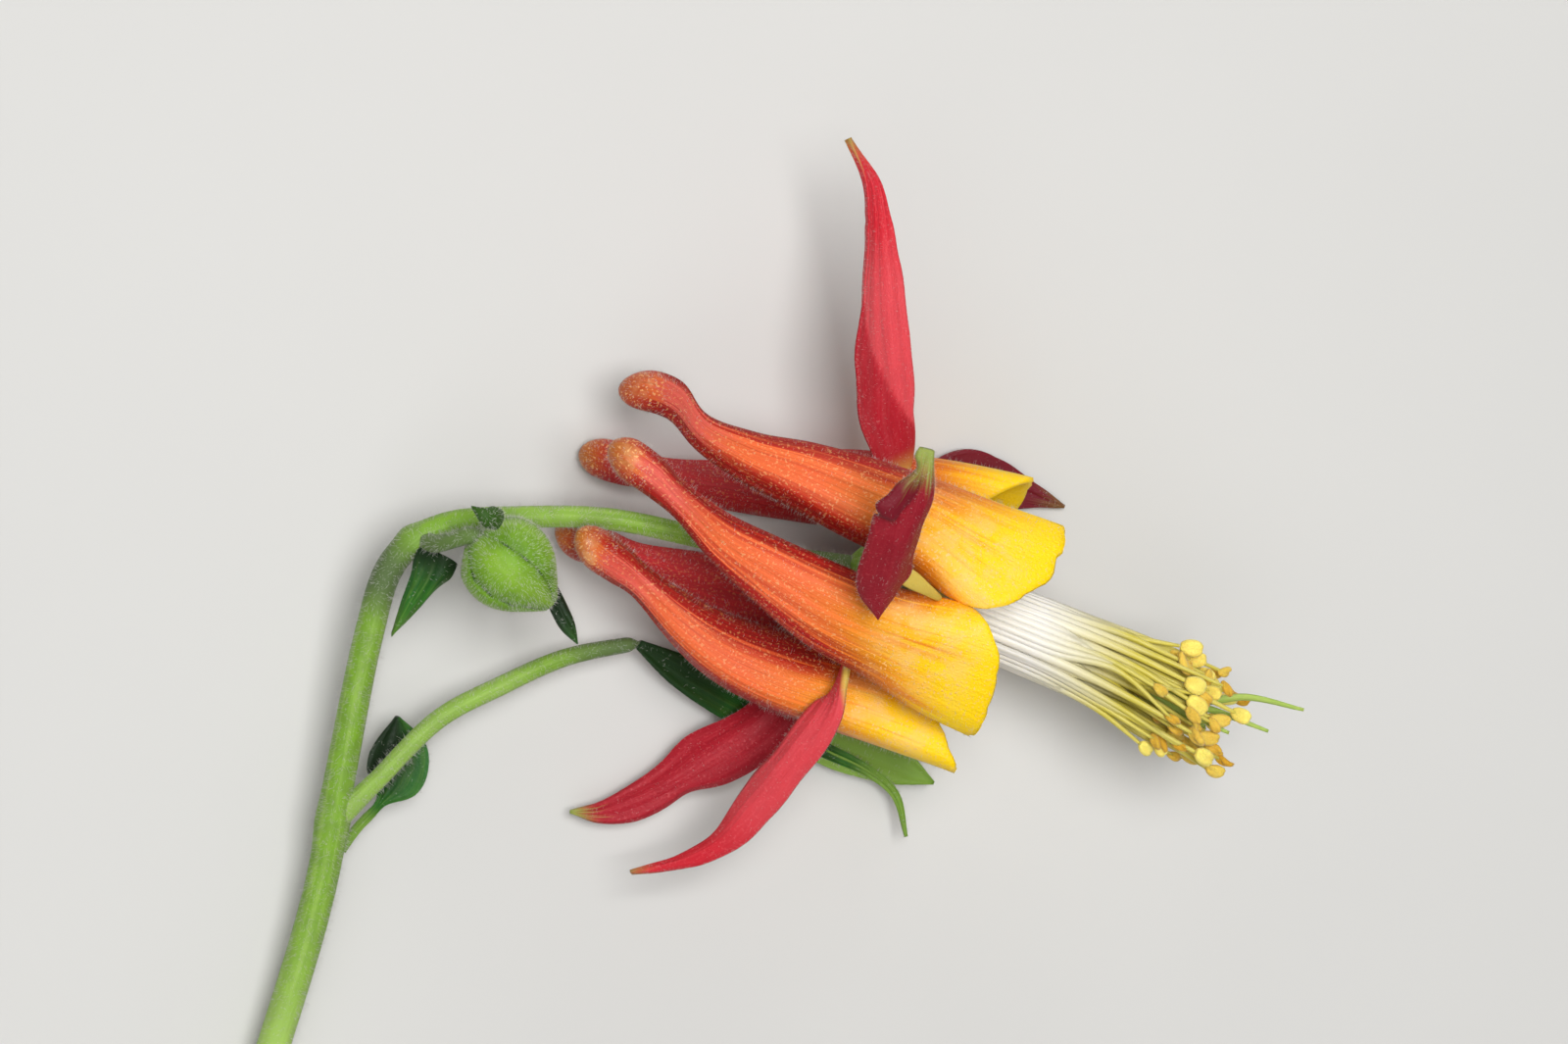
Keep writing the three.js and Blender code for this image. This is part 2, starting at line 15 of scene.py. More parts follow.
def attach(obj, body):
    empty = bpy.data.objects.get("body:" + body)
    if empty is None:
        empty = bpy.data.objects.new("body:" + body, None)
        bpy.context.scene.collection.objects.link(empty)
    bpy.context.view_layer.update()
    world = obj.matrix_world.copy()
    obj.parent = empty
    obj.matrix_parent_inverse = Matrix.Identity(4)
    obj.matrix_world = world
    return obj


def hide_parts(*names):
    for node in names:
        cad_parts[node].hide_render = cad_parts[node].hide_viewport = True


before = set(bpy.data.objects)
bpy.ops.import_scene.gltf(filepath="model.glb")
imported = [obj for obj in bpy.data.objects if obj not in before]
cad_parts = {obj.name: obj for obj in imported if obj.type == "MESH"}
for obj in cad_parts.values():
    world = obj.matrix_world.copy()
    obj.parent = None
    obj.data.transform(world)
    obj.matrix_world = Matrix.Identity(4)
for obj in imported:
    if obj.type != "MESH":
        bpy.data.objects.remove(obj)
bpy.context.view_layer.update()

bl_info = {
    "name": "Columbine Stem",
    "version": (1, 0, 0),
    "blender": (4, 5, 0),
    "location": "3D View > Sidebar > Columbine",
    "description": "Petals, sepals, stamens, bud, bracts and hairs of a cut columbine stem",
    "category": "Add Mesh",
}

MM = 0.001
PI = math.pi
TABLE_CLEAR = 0.012  # lowest that a resting surface lies above the table, in millimetres


def tint(red, green, blue):
    """A colour given from 0 to 255 as the shader's own values."""
    return tuple(
        c / 255 / 12.92 if c <= 10 else ((c / 255 + 0.055) / 1.055) ** 2.4
        for c in (red, green, blue)
    )


# ---- The plant's shape, as in its plain solids ------------------------------------------

FLOWER_HEIGHT = 8.1  # centre of the receptacle above the table
FLOWER_HEADING = -21.9  # degrees from +X in plan, spurs to mouth
FLOWER_LIFT = 6.0  # degrees that the mouth is raised
BLADE_REACH = 8.0  # receptacle to the lip of a petal
MIDDLE = np.array([-10.4, -16.38, 0.0])  # the model's origin, from under the receptacle
BUD_RADIUS = 2.6

# Stations along the flower's axis, behind the receptacle where they are negative, with the
# distance of a petal's middle from that axis, its two radii and how egg-shaped it is.
PETAL = {
    "along": [-18, -16.6, -15, -13.3, -10.6, -7.4, -3.8, 0, 4, 8],
    "out": [4.9, 5.0, 5.1, 5.2, 5.7, 6.1, 6.15, 5.85, 5.65, 5.6],
    "deep": [1.15, 1.2, 1.12, 0.97, 1.45, 1.95, 2.3, 2.45, 2.45, 2.4],
    "wide": [1.15, 1.2, 1.12, 0.97, 1.35, 1.85, 2.35, 2.6, 3.1, 3.35],
    "egg": [0, 0, 0, 0, 0.1, 0.25, 0.3, 0.35, 0.5, 0.6],
}
# Shares of a petal's length, from the end of its spur to its longest lip.
BULB_END = 0.14
TUBE_END = 0.79
CAVITY_END = 0.52
PETAL_FOOT = 0.765  # where it joins the receptacle
LIP_ROUNDNESS = 0.62
PETAL_SIDES = 72
BULB_RINGS, TUBE_RINGS, LIP_RINGS, CAVITY_RINGS = 12, 58, 16, 14

# Turn about the flower's axis at each station, and how each petal departs from the common
# form. shift moves it along the axis, droop, spread and tilt move its spur, its blade and its
# lip outwards, tip is the reach of its lip, lean the degrees that its longest point is turned
# and point how sharp that is. meets is where, and by how much, it swells to the blade beside
# it. face is how far its pale band turns from its own middle to the upper side of the flower,
# towards the camera and the lamps, so that the band is partly a painted light. dusk is how far
# its spur is painted a plain darker red, a painted shade on the back petals, ripe how red its
# bulb is, and seed sets its folds.
PETALS = {
    "petal_top_front": dict(
        turn=[-91, -86, -70, -46, -36, -34, -33, -34, -29, -25.5],
        shift=-0.25, droop=-0.5, tip=7.8, lean=28, point=1.1, meets=(1.7, 0.25), face=0.75,
        ripe=0.5, seed=1,
    ),
    "petal_middle_front": dict(
        turn=[-12, -9, -4.5, 3, 13, 18, 23, 26, 28, 28.5],
        spread=0.15, tip=7.0, lean=-33, meets=(-1.5, 0.4), face=0.75, ripe=0.15, seed=2,
    ),
    "petal_bottom_front": dict(
        turn=[58, 66, 74, 79, 80, 84, 88, 92, 95, 97],
        shift=0.3, spread=1, tip=7.1, lean=20, point=0.7, face=0.8, seed=3,
    ),
    "petal_top_back": dict(
        turn=[182, 183, 184, 187, 192, 201, 214, 228, 235, 237],
        shift=-0.5, tip=6.9, tilt=0.6, droop=0.5, spur_shade=0.45, seed=4,
    ),
    "petal_bottom_back": dict(
        turn=[118, 117, 118, 122, 132, 142, 152, 160, 164, 165],
        shift=-0.4, tip=7.7, spur_shade=0.45, seed=5,
    ),
}

# A sepal's claw runs out of the gap between two petals, at that turn about the flower's axis,
# by places along and out from the axis, and its blade goes on through the free places. sides
# point across it, half is its half width and dish how far its edges rise.
CLAW_STATIONS = [[-0.9, 2.3], [-0.7, 5.4], [-0.5, 7.9]]
SEPALS = {
    "sepal_up": dict(
        gap=274, turned=True, claw=[[-1.2, 2.3], [-2.0, 4.4], [-2.4, 5.9]],
        free=[(-0.6, 8.9, 9.5), (-1.0, 11.6, 10.0), (-1.4, 14.6, 10.2), (-1.5, 17.7, 10.1),
              (-1.5, 20.0, 9.9), (-1.75, 22.3, 9.7), (-3.0, 24.8, 9.6)],
        sides=[(-0.8, 0.1, 0.55), (-0.75, 0, 0.6), (-0.75, 0, 0.6), (-0.75, 0, 0.6),
               (-0.7, 0, 0.6), (-0.6, 0, 0.7)],
        half=[0.38, 0.6, 1.8, 2.15, 2.2, 2.1, 1.65, 1.2, 0.65, 0.1],
        dish=[0, 0, 0.2, 0.6, 0.7, 0.6, 0.3, 0],
    ),
    "sepal_front": dict(
        gap=-3.5, claw=[[-0.9, 2.3], [0.3, 4.4], [1.0, 5.9]],
        strap=dict(
            spine=[(0.95, -0.3, 15.6), (-0.1, 0.3, 17.2), (-1.3, 1.0, 18.4), (-2.4, 1.6, 19.3)],
            half=[0.3, 0.3, 0.25, 0.2, 0.34, 0.5, 0.5],
            sides=[(-0.57, -0.82, 0), (-0.57, -0.82, 0)], dish=[0, -0.1, -0.1, 0],
        ),
        free=[(-3.17, -1.05, 18.2), (-3.22, 0.36, 19.4), (-3.21, 1.88, 20.8), (-3.05, 3.88, 22.4),
              (-2.67, 5.95, 23.3), (-2.0, 8.54, 23.9)],
        sides=[(-1, -0.1, 0.1), (-1, -0.1, 0.1), (-0.95, 0.1, 0.1), (-0.95, 0.2, 0.1)],
        half=[0.06, 1.25, 1.5, 1.42, 1.38, 0.42],
        dish=[-0.1, -0.5, -0.6, -0.4, 0],
    ),
    "sepal_lower_front": dict(
        gap=59, claw=[[-0.9, 2.3], [-0.9, 5.4], [-1.0, 7.9]],
        free=[(-4.9, -7.4, 12.1), (-6.6, -10.1, 10.8), (-8.1, -12.5, 9.3), (-9.6, -14.7, 7.9),
              (-11.6, -16.1, 6.6), (-14.2, -16.9, 5.5)],
        sides=[(-0.6, 0.4, -0.65), (-0.55, 0.4, -0.7), (-0.5, 0.4, -0.75), (-0.4, 0.5, -0.65)],
        half=[0.38, 0.72, 1.0, 1.15, 1.2, 1.25, 0.85, 0.5, 0.1],
        dish=[0, 0, 0.3, 0.6, 0.6, 0.4, 0],
    ),
    "sepal_lower_back": dict(
        gap=126, claw=CLAW_STATIONS,
        free=[(-4.3, -6.9, 4.1), (-6.4, -9.1, 3.6), (-8.6, -10.7, 2.9), (-10.8, -12.2, 2.3),
              (-13.1, -13.3, 1.9), (-15.2, -14.0, 1.6), (-17.0, -14.0, 1.3)],
        sides=[(-0.6, 0.5, -0.5), (-0.6, 0.7, -0.3), (-0.4, 0.9, -0.2), (-0.3, 0.95, -0.1)],
        half=[0.38, 0.38, 0.9, 1.5, 1.7, 1.45, 1.1, 0.7, 0.1],
        dish=[0, 0, 0.3, 0.5, 0.5, 0.3, 0],
    ),
    "sepal_right_back": dict(
        gap=191, claw=[[-0.9, 2.3], [-0.7, 5.0], [-0.2, 7.0]],
        free=[(3.6, 2.5, 0.5), (6.1, 4.4, 0.4), (8.3, 4.6, 0.3), (10.5, 4.0, 0.3),
              (12.6, 3.3, 0.6)],
        sides=[(-0.4, 0.9, 0), (0, 1, 0), (0.1, 1, 0), (0.2, 1, 0)],
        half=[0.38, 0.38, 0.6, 1.75, 2.25, 1.6, 0.85, 0.1],
        dish=[0, 0, 0.2, 0.5, 0.5, 0.3, 0.2, 0],
    ),
}

# Stamens stand in rings round the styles: their distance from the flower's axis at the foot
# and at the anthers.
STAMEN_RINGS = [dict(count=12, foot=1.36, end=1.9), dict(count=18, foot=1.98, end=3.1)]
SMALL_RINGS = [dict(count=15, foot=1.72, end=2.5), dict(count=9, foot=0.95, end=1.2),
               dict(count=18, foot=2.02, end=2.9)]
COLUMN_FOOT = 1.1
SHORTEST_STAMEN = 17  # receptacle to the anther
STAMEN_SPREAD = 5.4  # the longest is this much longer
FILAMENT_STEPS = 30
ANTHER = (0.42, 0.54, 0.84)  # half its thickness, breadth and length
SMALL_ANTHER = (0.3, 0.4, 0.6)
COLUMN_SAG = 0.7  # of the stamens' ends, to the flower's lower side
COLUMN_RADII = [2.0, 2.3, 2.35, 2.35, 2.3, 2.0, 1.2]  # of the core that the filaments hide
# Length, distance from the axis and turn of the five style tips.
STYLE_TIPS = [(25.3, 2.6, 274), (23.9, 0.7, 262), (21.6, 0.7, 20), (20.4, 0.5, 120),
              (19.4, 0.4, 180)]
STYLE_RADII = [0.4, 0.4, 0.34, 0.25, 0.2, 0.1]
CARPEL_FOOT = 1.95
STYLE_GAP = 0.27  # from the axis, while the styles run side by side

MAIN_STEM = [(-44.0, -57.4, 0.88), (-39.0, -41.7, 1.8), (-34.2, -26.6, 2.8), (-31.8, -17.9, 3.8),
             (-30.7, -11.0, 4.8), (-29.3, -3.1, 6.0), (-28.0, 1.2, 6.9), (-25.2, 3.2, 7.4),
             (-20.4, 3.6, 7.1), (-15.8, 3.4, 6.7), (-11.4, 2.5, 6.7), (-6.4, 1.3, 7.1),
             (-1.2, 0.4, 7.9)]
MAIN_RADII = [0.93, 0.95, 0.93, 0.9, 0.86, 0.8, 0.78, 0.72, 0.62, 0.62, 0.62, 0.64, 0.8]
SIDE_BRANCH = [(-30.9, -13.6, 4.5), (-28.7, -11.4, 4.9), (-25.2, -8.1, 4.5), (-21.5, -6.3, 3.9),
               (-17.5, -4.8, 3.1), (-13.1, -4.1, 2.5)]
SIDE_RADII = [0.6, 0.55, 0.55, 0.55, 0.5, 0.42]
BUD_STALK = [(-26.5, 2.4, 7.2), (-25.9, 2.3, 8.7), (-25.2, 2.6, 9.9), (-24.3, 2.9, 10.6),
             (-23.3, 2.5, 10.8)]
BUD_STALK_RADII = [0.6, 0.5, 0.46, 0.5, 0.5]
BUD_BRACT = dict(
    spine=[(-22.9, 3.9, 12.1), (-23.4, 4.1, 12.7), (-23.95, 4.35, 12.8), (-24.5, 4.65, 12.4)],
    half=[0.6, 0.62, 0.42, 0.05], sides=[(0.5, 0.8, -0.3), (0.5, 0.8, -0.3)], dish=[0.2, 0.3, 0.1],
)
BUD_FOOT = np.array([-23.9, 2.95, 10.8])
BUD_TIP = np.array([-19.8, -0.9, 10.6])
BUD_SWELL = [0.42, 0.84, 0.98, 1.0, 0.93, 0.76, 0.5, 0.2]
# Radius of the receptacle, with the place along the flower's axis.
RECEPTACLE = [(0, -2.6), (0.9, -2.2), (2.4, -1.2), (2.7, -0.4), (2.3, 0.5), (0, 0.6)]

BRACTS = {
    "bract_upper": [dict(
        spine=[(-25.7, 1.7, 8.3), (-26.2, 0.7, 8.8), (-27.0, -0.7, 8.5), (-28.2, -2.85, 7.6)],
        half=[1.2, 1.15, 0.85, 0.55, 0.05], sides=[(-1, 0.2, 0), (-1, 0.5, 0)],
        dish=[0.3, 0.5, 0.2],
    )],
    "bract_bud": [dict(
        spine=[(-19.45, -0.3, 8.3), (-18.95, -1.45, 8.6), (-18.47, -2.43, 8.8),
               (-17.98, -3.35, 8.8)],
        half=[0.45, 0.5, 0.42, 0.05], sides=[(-0.7, -0.5, 0), (-0.7, -0.5, 0)],
        dish=[0.1, 0.2, 0.1],
    )],
    "bract_lower": [dict(
        spine=[(-30.4, -15.6, 2.8), (-29.5, -14.4, 2.8), (-28.3, -13.0, 3.0),
               (-27.5, -11.6, 3.1), (-27.2, -10.0, 3.1), (-27.3, -8.0, 3.2)],
        half=[0.3, 0.28, 0.28, 0.36, 1.5, 1.75, 1.45, 0.15],
        sides=[(-0.8, 0.5, 0), (-1, 0.2, 0), (-1, 0, 0)], dish=[0, 0, 0.3, 0.4, 0.2],
    )],
    "bract_back": [
        dict(
            spine=[(-13.3, -4.2, 2.5), (-10.3, -6.1, 2.0), (-6.7, -8.1, 1.1), (-3.7, -9.4, 0.8),
                   (-1.4, -10.4, 1.0), (1.6, -11.4, 1.2), (4.6, -12.8, 1.5)],
            half=[0.3, 0.9, 1.2, 1.25, 1.1, 1.35, 1.45, 1.2, 0.1],
            sides=[(0.5, 0.9, 0), (0.4, 0.9, 0), (0.4, 0.9, 0)], dish=[0.2, 0.3, 0.2],
        ),
        dict(
            spine=[(-5.2, -8.9, 1.15), (-2.0, -10.7, 1.1), (0.6, -12.0, 1.3), (2.3, -13.5, 1.5),
                   (2.9, -15.9, 1.8)],
            half=[0.4, 0.45, 0.34, 0.26, 0.1], sides=[(0.4, 0.9, 0), (0.9, 0.4, 0)],
            dish=[0.1, 0.2, 0.1],
        ),
        dict(
            spine=[(-5.6, -8.4, 1.2), (-2.6, -8.6, 1.0), (0.2, -8.6, 0.9), (2.6, -9.4, 0.9)],
            half=[0.6, 0.8, 0.9, 0.7, 0.1], sides=[(0.1, 1, 0), (0.2, 1, 0)],
            dish=[0.1, 0.2, 0.1],
        ),
    ],
}

# How light each bract is from its foot to its tip, from -1 to 1, and how much that falls
# towards its left side: painted light and shade, darker where the bract lies in shade.
BRACT_LIGHT_AND_SHADE = {
    "bract_upper": ([-1, -0.6, 0.0, 0.5], 0.0), "bract_bud": ([-1, -0.9, -0.7, -0.3], 0.0),
    "bract_lower": ([0.8, 0.8, -0.5, -0.8, -0.8], 0.7),
    "bract_back": ([-0.8, -0.6, 0.6, 1.0, 1.0], 0.0),
}

# Hairs to the square millimetre; the stem's are a setting.
HAIR_COVER = dict(petal=18.0, sepal=20.0, bud=55.0, bract=10.0)
HAIR_DEPTH = 0.02  # that its root is sunk
HAIR_BEND = 0.2  # of its tip to one side, as a share of its length
HAIR_CORNERS = (0, 2.1, 4.2)  # round its foot, in radians

# Steps along a thin blade and columns across it.
SEPAL_GRID = dict(steps=90, columns=28)
STRAP_GRID = dict(steps=50, columns=12)
BRACT_GRID = dict(steps=50, columns=20)
BUD_BRACT_GRID = dict(steps=24, columns=14)

# The stage, in metres and watts: name, place, size and power of each lamp.
LAMPS = [
    ("key_lamp", (-0.01, 0.09, 0.44), 0.20, 1.85),
    ("fill_lamp", (-0.16, -0.16, 0.42), 0.40, 0.55),
    ("rim_lamp", (0.16, 0.38, 0.14), 0.16, 0.3),
]
ROOM_LIGHT = 0.13
TABLE_HALF = 1.2
TABLE_TOP = -0.03 * MM
# The flower's axis in plan. It falls to the right in the camera's view by the same numbers.
AXIS_EAST, AXIS_NORTH = 0.9277, -0.3734
CAMERA_PLACE = (-50.74 * MM, 41.81 * MM, 246.17 * MM)


# ---- Curves and the flower's own frame ---------------------------------------------------


def blend(values, t):
    """Smooth run through evenly spaced values or points, for an array of t from 0 to 1."""
    v = np.asarray(values, float)
    t = np.asarray(t, float)
    last = len(v) - 1
    at = np.clip(t, 0, 1) * last
    i = np.minimum(at.astype(int), last - 1)

    def for_all(each):
        return each[..., None] if v.ndim > 1 else each

    f = for_all(at - i)
    b, c = v[i], v[i + 1]
    a = np.where(for_all(i > 0), v[np.maximum(i - 1, 0)], 2 * b - c)
    d = np.where(for_all(i + 2 <= last), v[np.minimum(i + 2, last)], 2 * c - b)
    return b + 0.5 * f * (c - a + f * (2 * a - 5 * b + 4 * c - d + f * (3 * (b - c) + d - a)))


def unit(v):
    """Vectors of length 1 in the same directions."""
    v = np.asarray(v, float)
    return v / np.maximum(np.linalg.norm(v, axis=-1, keepdims=True), 1e-9)


def heading_of(points, t):
    """Direction of a curve at each t."""
    return unit(blend(points, np.minimum(t + 1e-4, 1)) - blend(points, np.maximum(t - 1e-4, 0)))


def step_up(x, low, high):
    """0 below low, 1 above high and smooth between."""
    s = np.clip((x - low) / (high - low), 0, 1)
    return s * s * (3 - 2 * s)


def flower_axes(heading, lift):
    """Directions to the flower's mouth, to its upper side and across both."""
    h, l = math.radians(heading), math.radians(lift)
    forward = np.array([math.cos(l) * math.cos(h), math.cos(l) * math.sin(h), math.sin(l)])
    upward = np.array([-math.sin(l) * math.cos(h), -math.sin(l) * math.sin(h), math.cos(l)])
    return forward, upward, np.cross(forward, upward)


CENTRE = np.array([0, 0, FLOWER_HEIGHT])
FORWARD, UPWARD, SIDEWARD = flower_axes(FLOWER_HEADING, FLOWER_LIFT)


def outward(turn):
    """Direction away from the flower's axis, at a turn in degrees from its upper side."""
    a = np.radians(np.asarray(turn, float))[..., None]
    return UPWARD * np.cos(a) + SIDEWARD * np.sin(a)


def around(turn):
    """Direction in which that turn grows."""
    a = np.radians(np.asarray(turn, float))[..., None]
    return SIDEWARD * np.cos(a) - UPWARD * np.sin(a)


def in_flower(along, out, turn):
    """A place by its distance along the flower's axis, out from it and turned about it."""
    along = np.asarray(along, float)[..., None]
    out = np.asarray(out, float)[..., None]
    return CENTRE + FORWARD * along + outward(turn) * out


def bump(t, at, long):
    """1 at a place along a piece, falling off within a length."""
    return np.exp(-(((t - at) / long) ** 2))


def all_round(count):
    """Angles of so many points round a ring, in radians."""
    return 2 * PI * np.arange(count) / count


def seeded(seed):
    """The same run of numbers from 0 to 1 that the plain solids are placed by."""
    state = seed
    while True:
        state = (state * 16807) % 2147483647
        yield state / 2147483647


# ---- Skins: rings of points that become one mesh -----------------------------------------


def rest_on_table(points, clear=TABLE_CLEAR):
    """Press flat what would reach below the table."""
    points[..., 2] = np.maximum(points[..., 2], clear)


class Skin:
    """Gathers bodies of rings into one mesh.

    Each point keeps its lay: where it is across or around the piece (two numbers) and along
    it (one), and a mark that its material may read.
    """

    def __init__(self):
        self.points, self.lay, self.mark, self.faces, self.slots = [], [], [], [], []
        self.count = 0

    def add(self, points, lay, mark, faces, slot=0):
        """Take in a body, with the number of its finish."""
        points = np.asarray(points, float).reshape(-1, 3)
        self.points.append(points)
        self.lay.append(np.asarray(lay, float).reshape(-1, 3))
        self.mark.append(np.broadcast_to(np.asarray(mark, float), (len(points),)).copy())
        faces = np.asarray(faces, int) + self.count
        self.faces.append(faces)
        self.slots.append(np.full(len(faces), slot))
        self.count += len(points)

    def rings(self, rings, lay, mark=0.0, slot=0):
        """A closed body from rings of points, capped by its first and last ring's middle."""
        n, m = rings.shape[:2]
        grid = np.arange(n * m).reshape(n, m)
        after = np.roll(grid, -1, axis=1)
        a, b, c, d = grid[:-1], after[:-1], grid[1:], after[1:]
        quads = np.stack([a, b, d, c], -1).reshape(-1, 4)
        first, last = n * m, n * m + 1
        cap = [np.stack([np.full(m, first), after[0], grid[0], grid[0]], -1),
               np.stack([np.full(m, last), grid[-1], after[-1], after[-1]], -1)]
        points = np.concatenate([rings.reshape(-1, 3), rings[0].mean(0)[None],
                                 rings[-1].mean(0)[None]])
        lay = np.concatenate([lay.reshape(-1, 3), lay[0].mean(0)[None], lay[-1].mean(0)[None]])
        if np.ndim(mark):
            mark = np.concatenate([np.ravel(mark), [np.ravel(mark)[0], np.ravel(mark)[-1]]])
        self.add(points, lay, mark, np.concatenate([quads, *cap]), slot)

    def gathered(self):
        """Points, lay, mark and faces so far, each as one array."""
        return (np.concatenate(self.points), np.concatenate(self.lay),
                np.concatenate(self.mark), np.concatenate(self.faces))

    def hairs(self, seed, per_mm2, length, width, chance=None, lean=0.3):
        """Fine tapered hairs over the skin so far, as a second finish."""
        random = np.random.default_rng(seed)
        points, lay, mark, faces = self.gathered()
        quad = faces[:, 3] != faces[:, 2]
        tri = np.concatenate([faces[:, :3], faces[quad][:, [0, 2, 3]]])
        a, b, c = (points[tri[:, k]] for k in range(3))
        cross = np.cross(b - a, c - a)
        keep = np.linalg.norm(cross, axis=1) / 2
        if chance is not None:
            keep = keep * chance(lay[tri].mean(1), mark[tri].mean(1), (a + b + c) / 3)
        count = int(per_mm2 * keep.sum())
        pick = random.choice(len(tri), count, p=keep / keep.sum())
        r, s = np.sqrt(random.random((count, 1))), random.random((count, 1))
        root = (1 - r) * a[pick] + r * (1 - s) * b[pick] + r * s * c[pick]
        aim = unit(unit(cross[pick]) + lean * random.normal(size=(count, 3)))
        side = unit(np.cross(aim, random.normal(size=(count, 3))))
        other = np.cross(aim, side)
        long = length * random.uniform(0.45, 1.35, (count, 1))
        foot = [root - HAIR_DEPTH * aim + width / 2 * (side * math.cos(k) + other * math.sin(k))
                for k in HAIR_CORNERS]
        body = np.stack([*foot, root + long * (aim + HAIR_BEND * side)], 1)
        rest_on_table(body, HAIR_DEPTH)
        start = 4 * np.arange(count)[:, None]
        along = np.tile([[0.0, 0.0, 0.0]] * 3 + [[0.0, 0.0, 1.0]], (count, 1))
        self.add(body, along, 0.0, np.concatenate(
            [start + np.array([[k, (k + 1) % 3, 3, 3]]) for k in range(3)]), 1)

    def raise_object(self, name, materials):
        """The finished object, in metres, shifted to the model's own origin."""
        points, lay, mark, faces = self.gathered()
        mesh = bpy.data.meshes.new(name)
        tris = faces[:, 3] == faces[:, 2]
        lists = [f[:3] if t else f for f, t in zip(faces.tolist(), tris)]
        mesh.from_pydata(((points - MIDDLE) * MM).tolist(), [], lists)
        mesh.polygons.foreach_set("use_smooth", np.ones(len(faces), bool))
        mesh.polygons.foreach_set("material_index", np.concatenate(self.slots).astype(np.int32))
        mesh.attributes.new("lay", "FLOAT_VECTOR", "POINT").data.foreach_set(
            "vector", lay.astype(np.float32).ravel())
        mesh.attributes.new("mark", "FLOAT", "POINT").data.foreach_set(
            "value", mark.astype(np.float32))
        for material in materials:
            mesh.materials.append(material)
        mesh.validate()
        mesh.update()
        made = bpy.data.objects.new(name, mesh)
        bpy.context.scene.collection.objects.link(made)
        return made


def place_piece(skin, name, materials):
    """Put a finished skin in the place of its plain solid."""
    made = skin.raise_object(f"columbine_{name}", materials)
    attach(made, "root")
    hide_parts(name)


def tube(points, radii, steps, sides, ridges=0, ridge=0.0, twist=0.0, joints=()):
    """Rings and lay of a round stalk with shallow ridges, swollen at its joints.

    A joint is its place along the stalk, its length as a share of it and its swelling. The
    lay runs along the stalk in centimetres.
    """
    t = np.linspace(0, 1, steps + 1)
    middle, tangent = blend(points, t), heading_of(points, t)
    across = unit(np.cross([0, 0, 1], tangent))
    over = np.cross(tangent, across)
    turn = all_round(sides)
    swell = sum((rise * bump(t, at, long) for at, long, rise in joints), 1.0)
    radius = (blend(radii, t) * swell)[:, None] * np.ones(sides)
    if ridges:
        radius = radius * (1 + ridge * np.cos(ridges * turn + twist * t[:, None]))
    rings = (middle[:, None] + across[:, None] * (radius * np.cos(turn))[..., None]
             + over[:, None] * (radius * np.sin(turn))[..., None])
    length = np.concatenate([[0], np.cumsum(np.linalg.norm(np.diff(middle, axis=0), axis=1))])
    lay = np.stack(np.broadcast_arrays(
        np.sin(turn)[None], np.cos(turn)[None], length[:, None] / 10), -1)
    return rings, lay


def blade(spine, half, sides, dish, thick, steps, columns, lift=None, edge=None):
    """Rings and lay of a thin blade that runs along a spine.

    half is its half width, sides point across it and dish is how far its edges rise. lift(t, u)
    adds to its rise and edge(t, u) to its width.
    """
    t = np.linspace(0, 1, steps + 1)[:, None]
    u = 1 - 2 * np.arange(columns + 1)[None] / columns
    # more columns near the edges, where the blade thins
    u = np.sin(u * PI / 2)
    spine = np.asarray(spine, float)
    tangent = heading_of(spine, t[:, 0])
    side = blend(np.asarray(sides, float), t[:, 0])
    side = unit(side - tangent * (side * tangent).sum(-1, keepdims=True))
    up = np.cross(tangent, side)
    width = blend(half, t) * u
    rise = blend(dish, t) * u * u
    if lift is not None:
        rise = rise + lift(t, u)
    if edge is not None:
        width = width + edge(t, u) * u
    middle = (blend(spine, t[:, 0])[:, None] + side[:, None] * width[..., None]
              + up[:, None] * rise[..., None])
    body = thick / 2 * np.sqrt(np.clip(1 - u**6, 0.04, 1)) * np.ones_like(t)
    top = middle + up[:, None] * body[..., None]
    bottom = (middle - up[:, None] * body[..., None])[:, ::-1]
    rings = np.concatenate([top, bottom], 1)
    flat_u, flat_t = np.broadcast_arrays(u, t)
    one = np.ones_like(flat_u)
    lay = np.concatenate([np.stack([flat_u, one, flat_t], -1),
                          np.stack([flat_u[:, ::-1], -one, flat_t], -1)], 1)
    return rings, lay


# ---- Finishes ----------------------------------------------------------------------------


def node(tree, kind, inputs=None, **settings):
    """A shader node, with its inputs joined or set."""
    made = tree.nodes.new(kind)
    for key, value in settings.items():
        setattr(made, key, value)
    for key, value in (inputs or {}).items():
        if isinstance(value, bpy.types.NodeSocket):
            tree.links.new(value, made.inputs[key])
        else:
            made.inputs[key].default_value = value
    return made


def ramp(tree, factor, stops):
    """Colours along a factor, from (place, colour) pairs."""
    made = node(tree, "ShaderNodeValToRGB", {"Fac": factor})
    band = made.color_ramp
    band.elements[0].position, band.elements[1].position = stops[0][0], stops[-1][0]
    band.elements[0].color = (*stops[0][1], 1)
    band.elements[1].color = (*stops[-1][1], 1)
    for place, colour in stops[1:-1]:
        band.elements.new(place).color = (*colour, 1)
    return made.outputs["Color"]


def mixed(tree, factor, first, second):
    """first where factor is 0, second where it is 1."""
    made = node(tree, "ShaderNodeMix", data_type="RGBA")
    # a colour mix has its factor and its two colours at these places among its sockets
    for index, value in ((0, factor), (6, first), (7, second)):
        if isinstance(value, bpy.types.NodeSocket):
            tree.links.new(value, made.inputs[index])
        else:
            made.inputs[index].default_value = value if index == 0 else (*value, 1)
    return made.outputs[2]


def maths(tree, operation, *values):
    """A number worked out from one or more others."""
    made = node(tree, "ShaderNodeMath", operation=operation)
    for socket, value in zip(made.inputs, values):
        if isinstance(value, bpy.types.NodeSocket):
            tree.links.new(value, socket)
        else:
            socket.default_value = value
    return made.outputs[0]


def times(tree, first, *others):
    """The product of several numbers."""
    for other in others:
        first = maths(tree, "MULTIPLY", first, other)
    return first


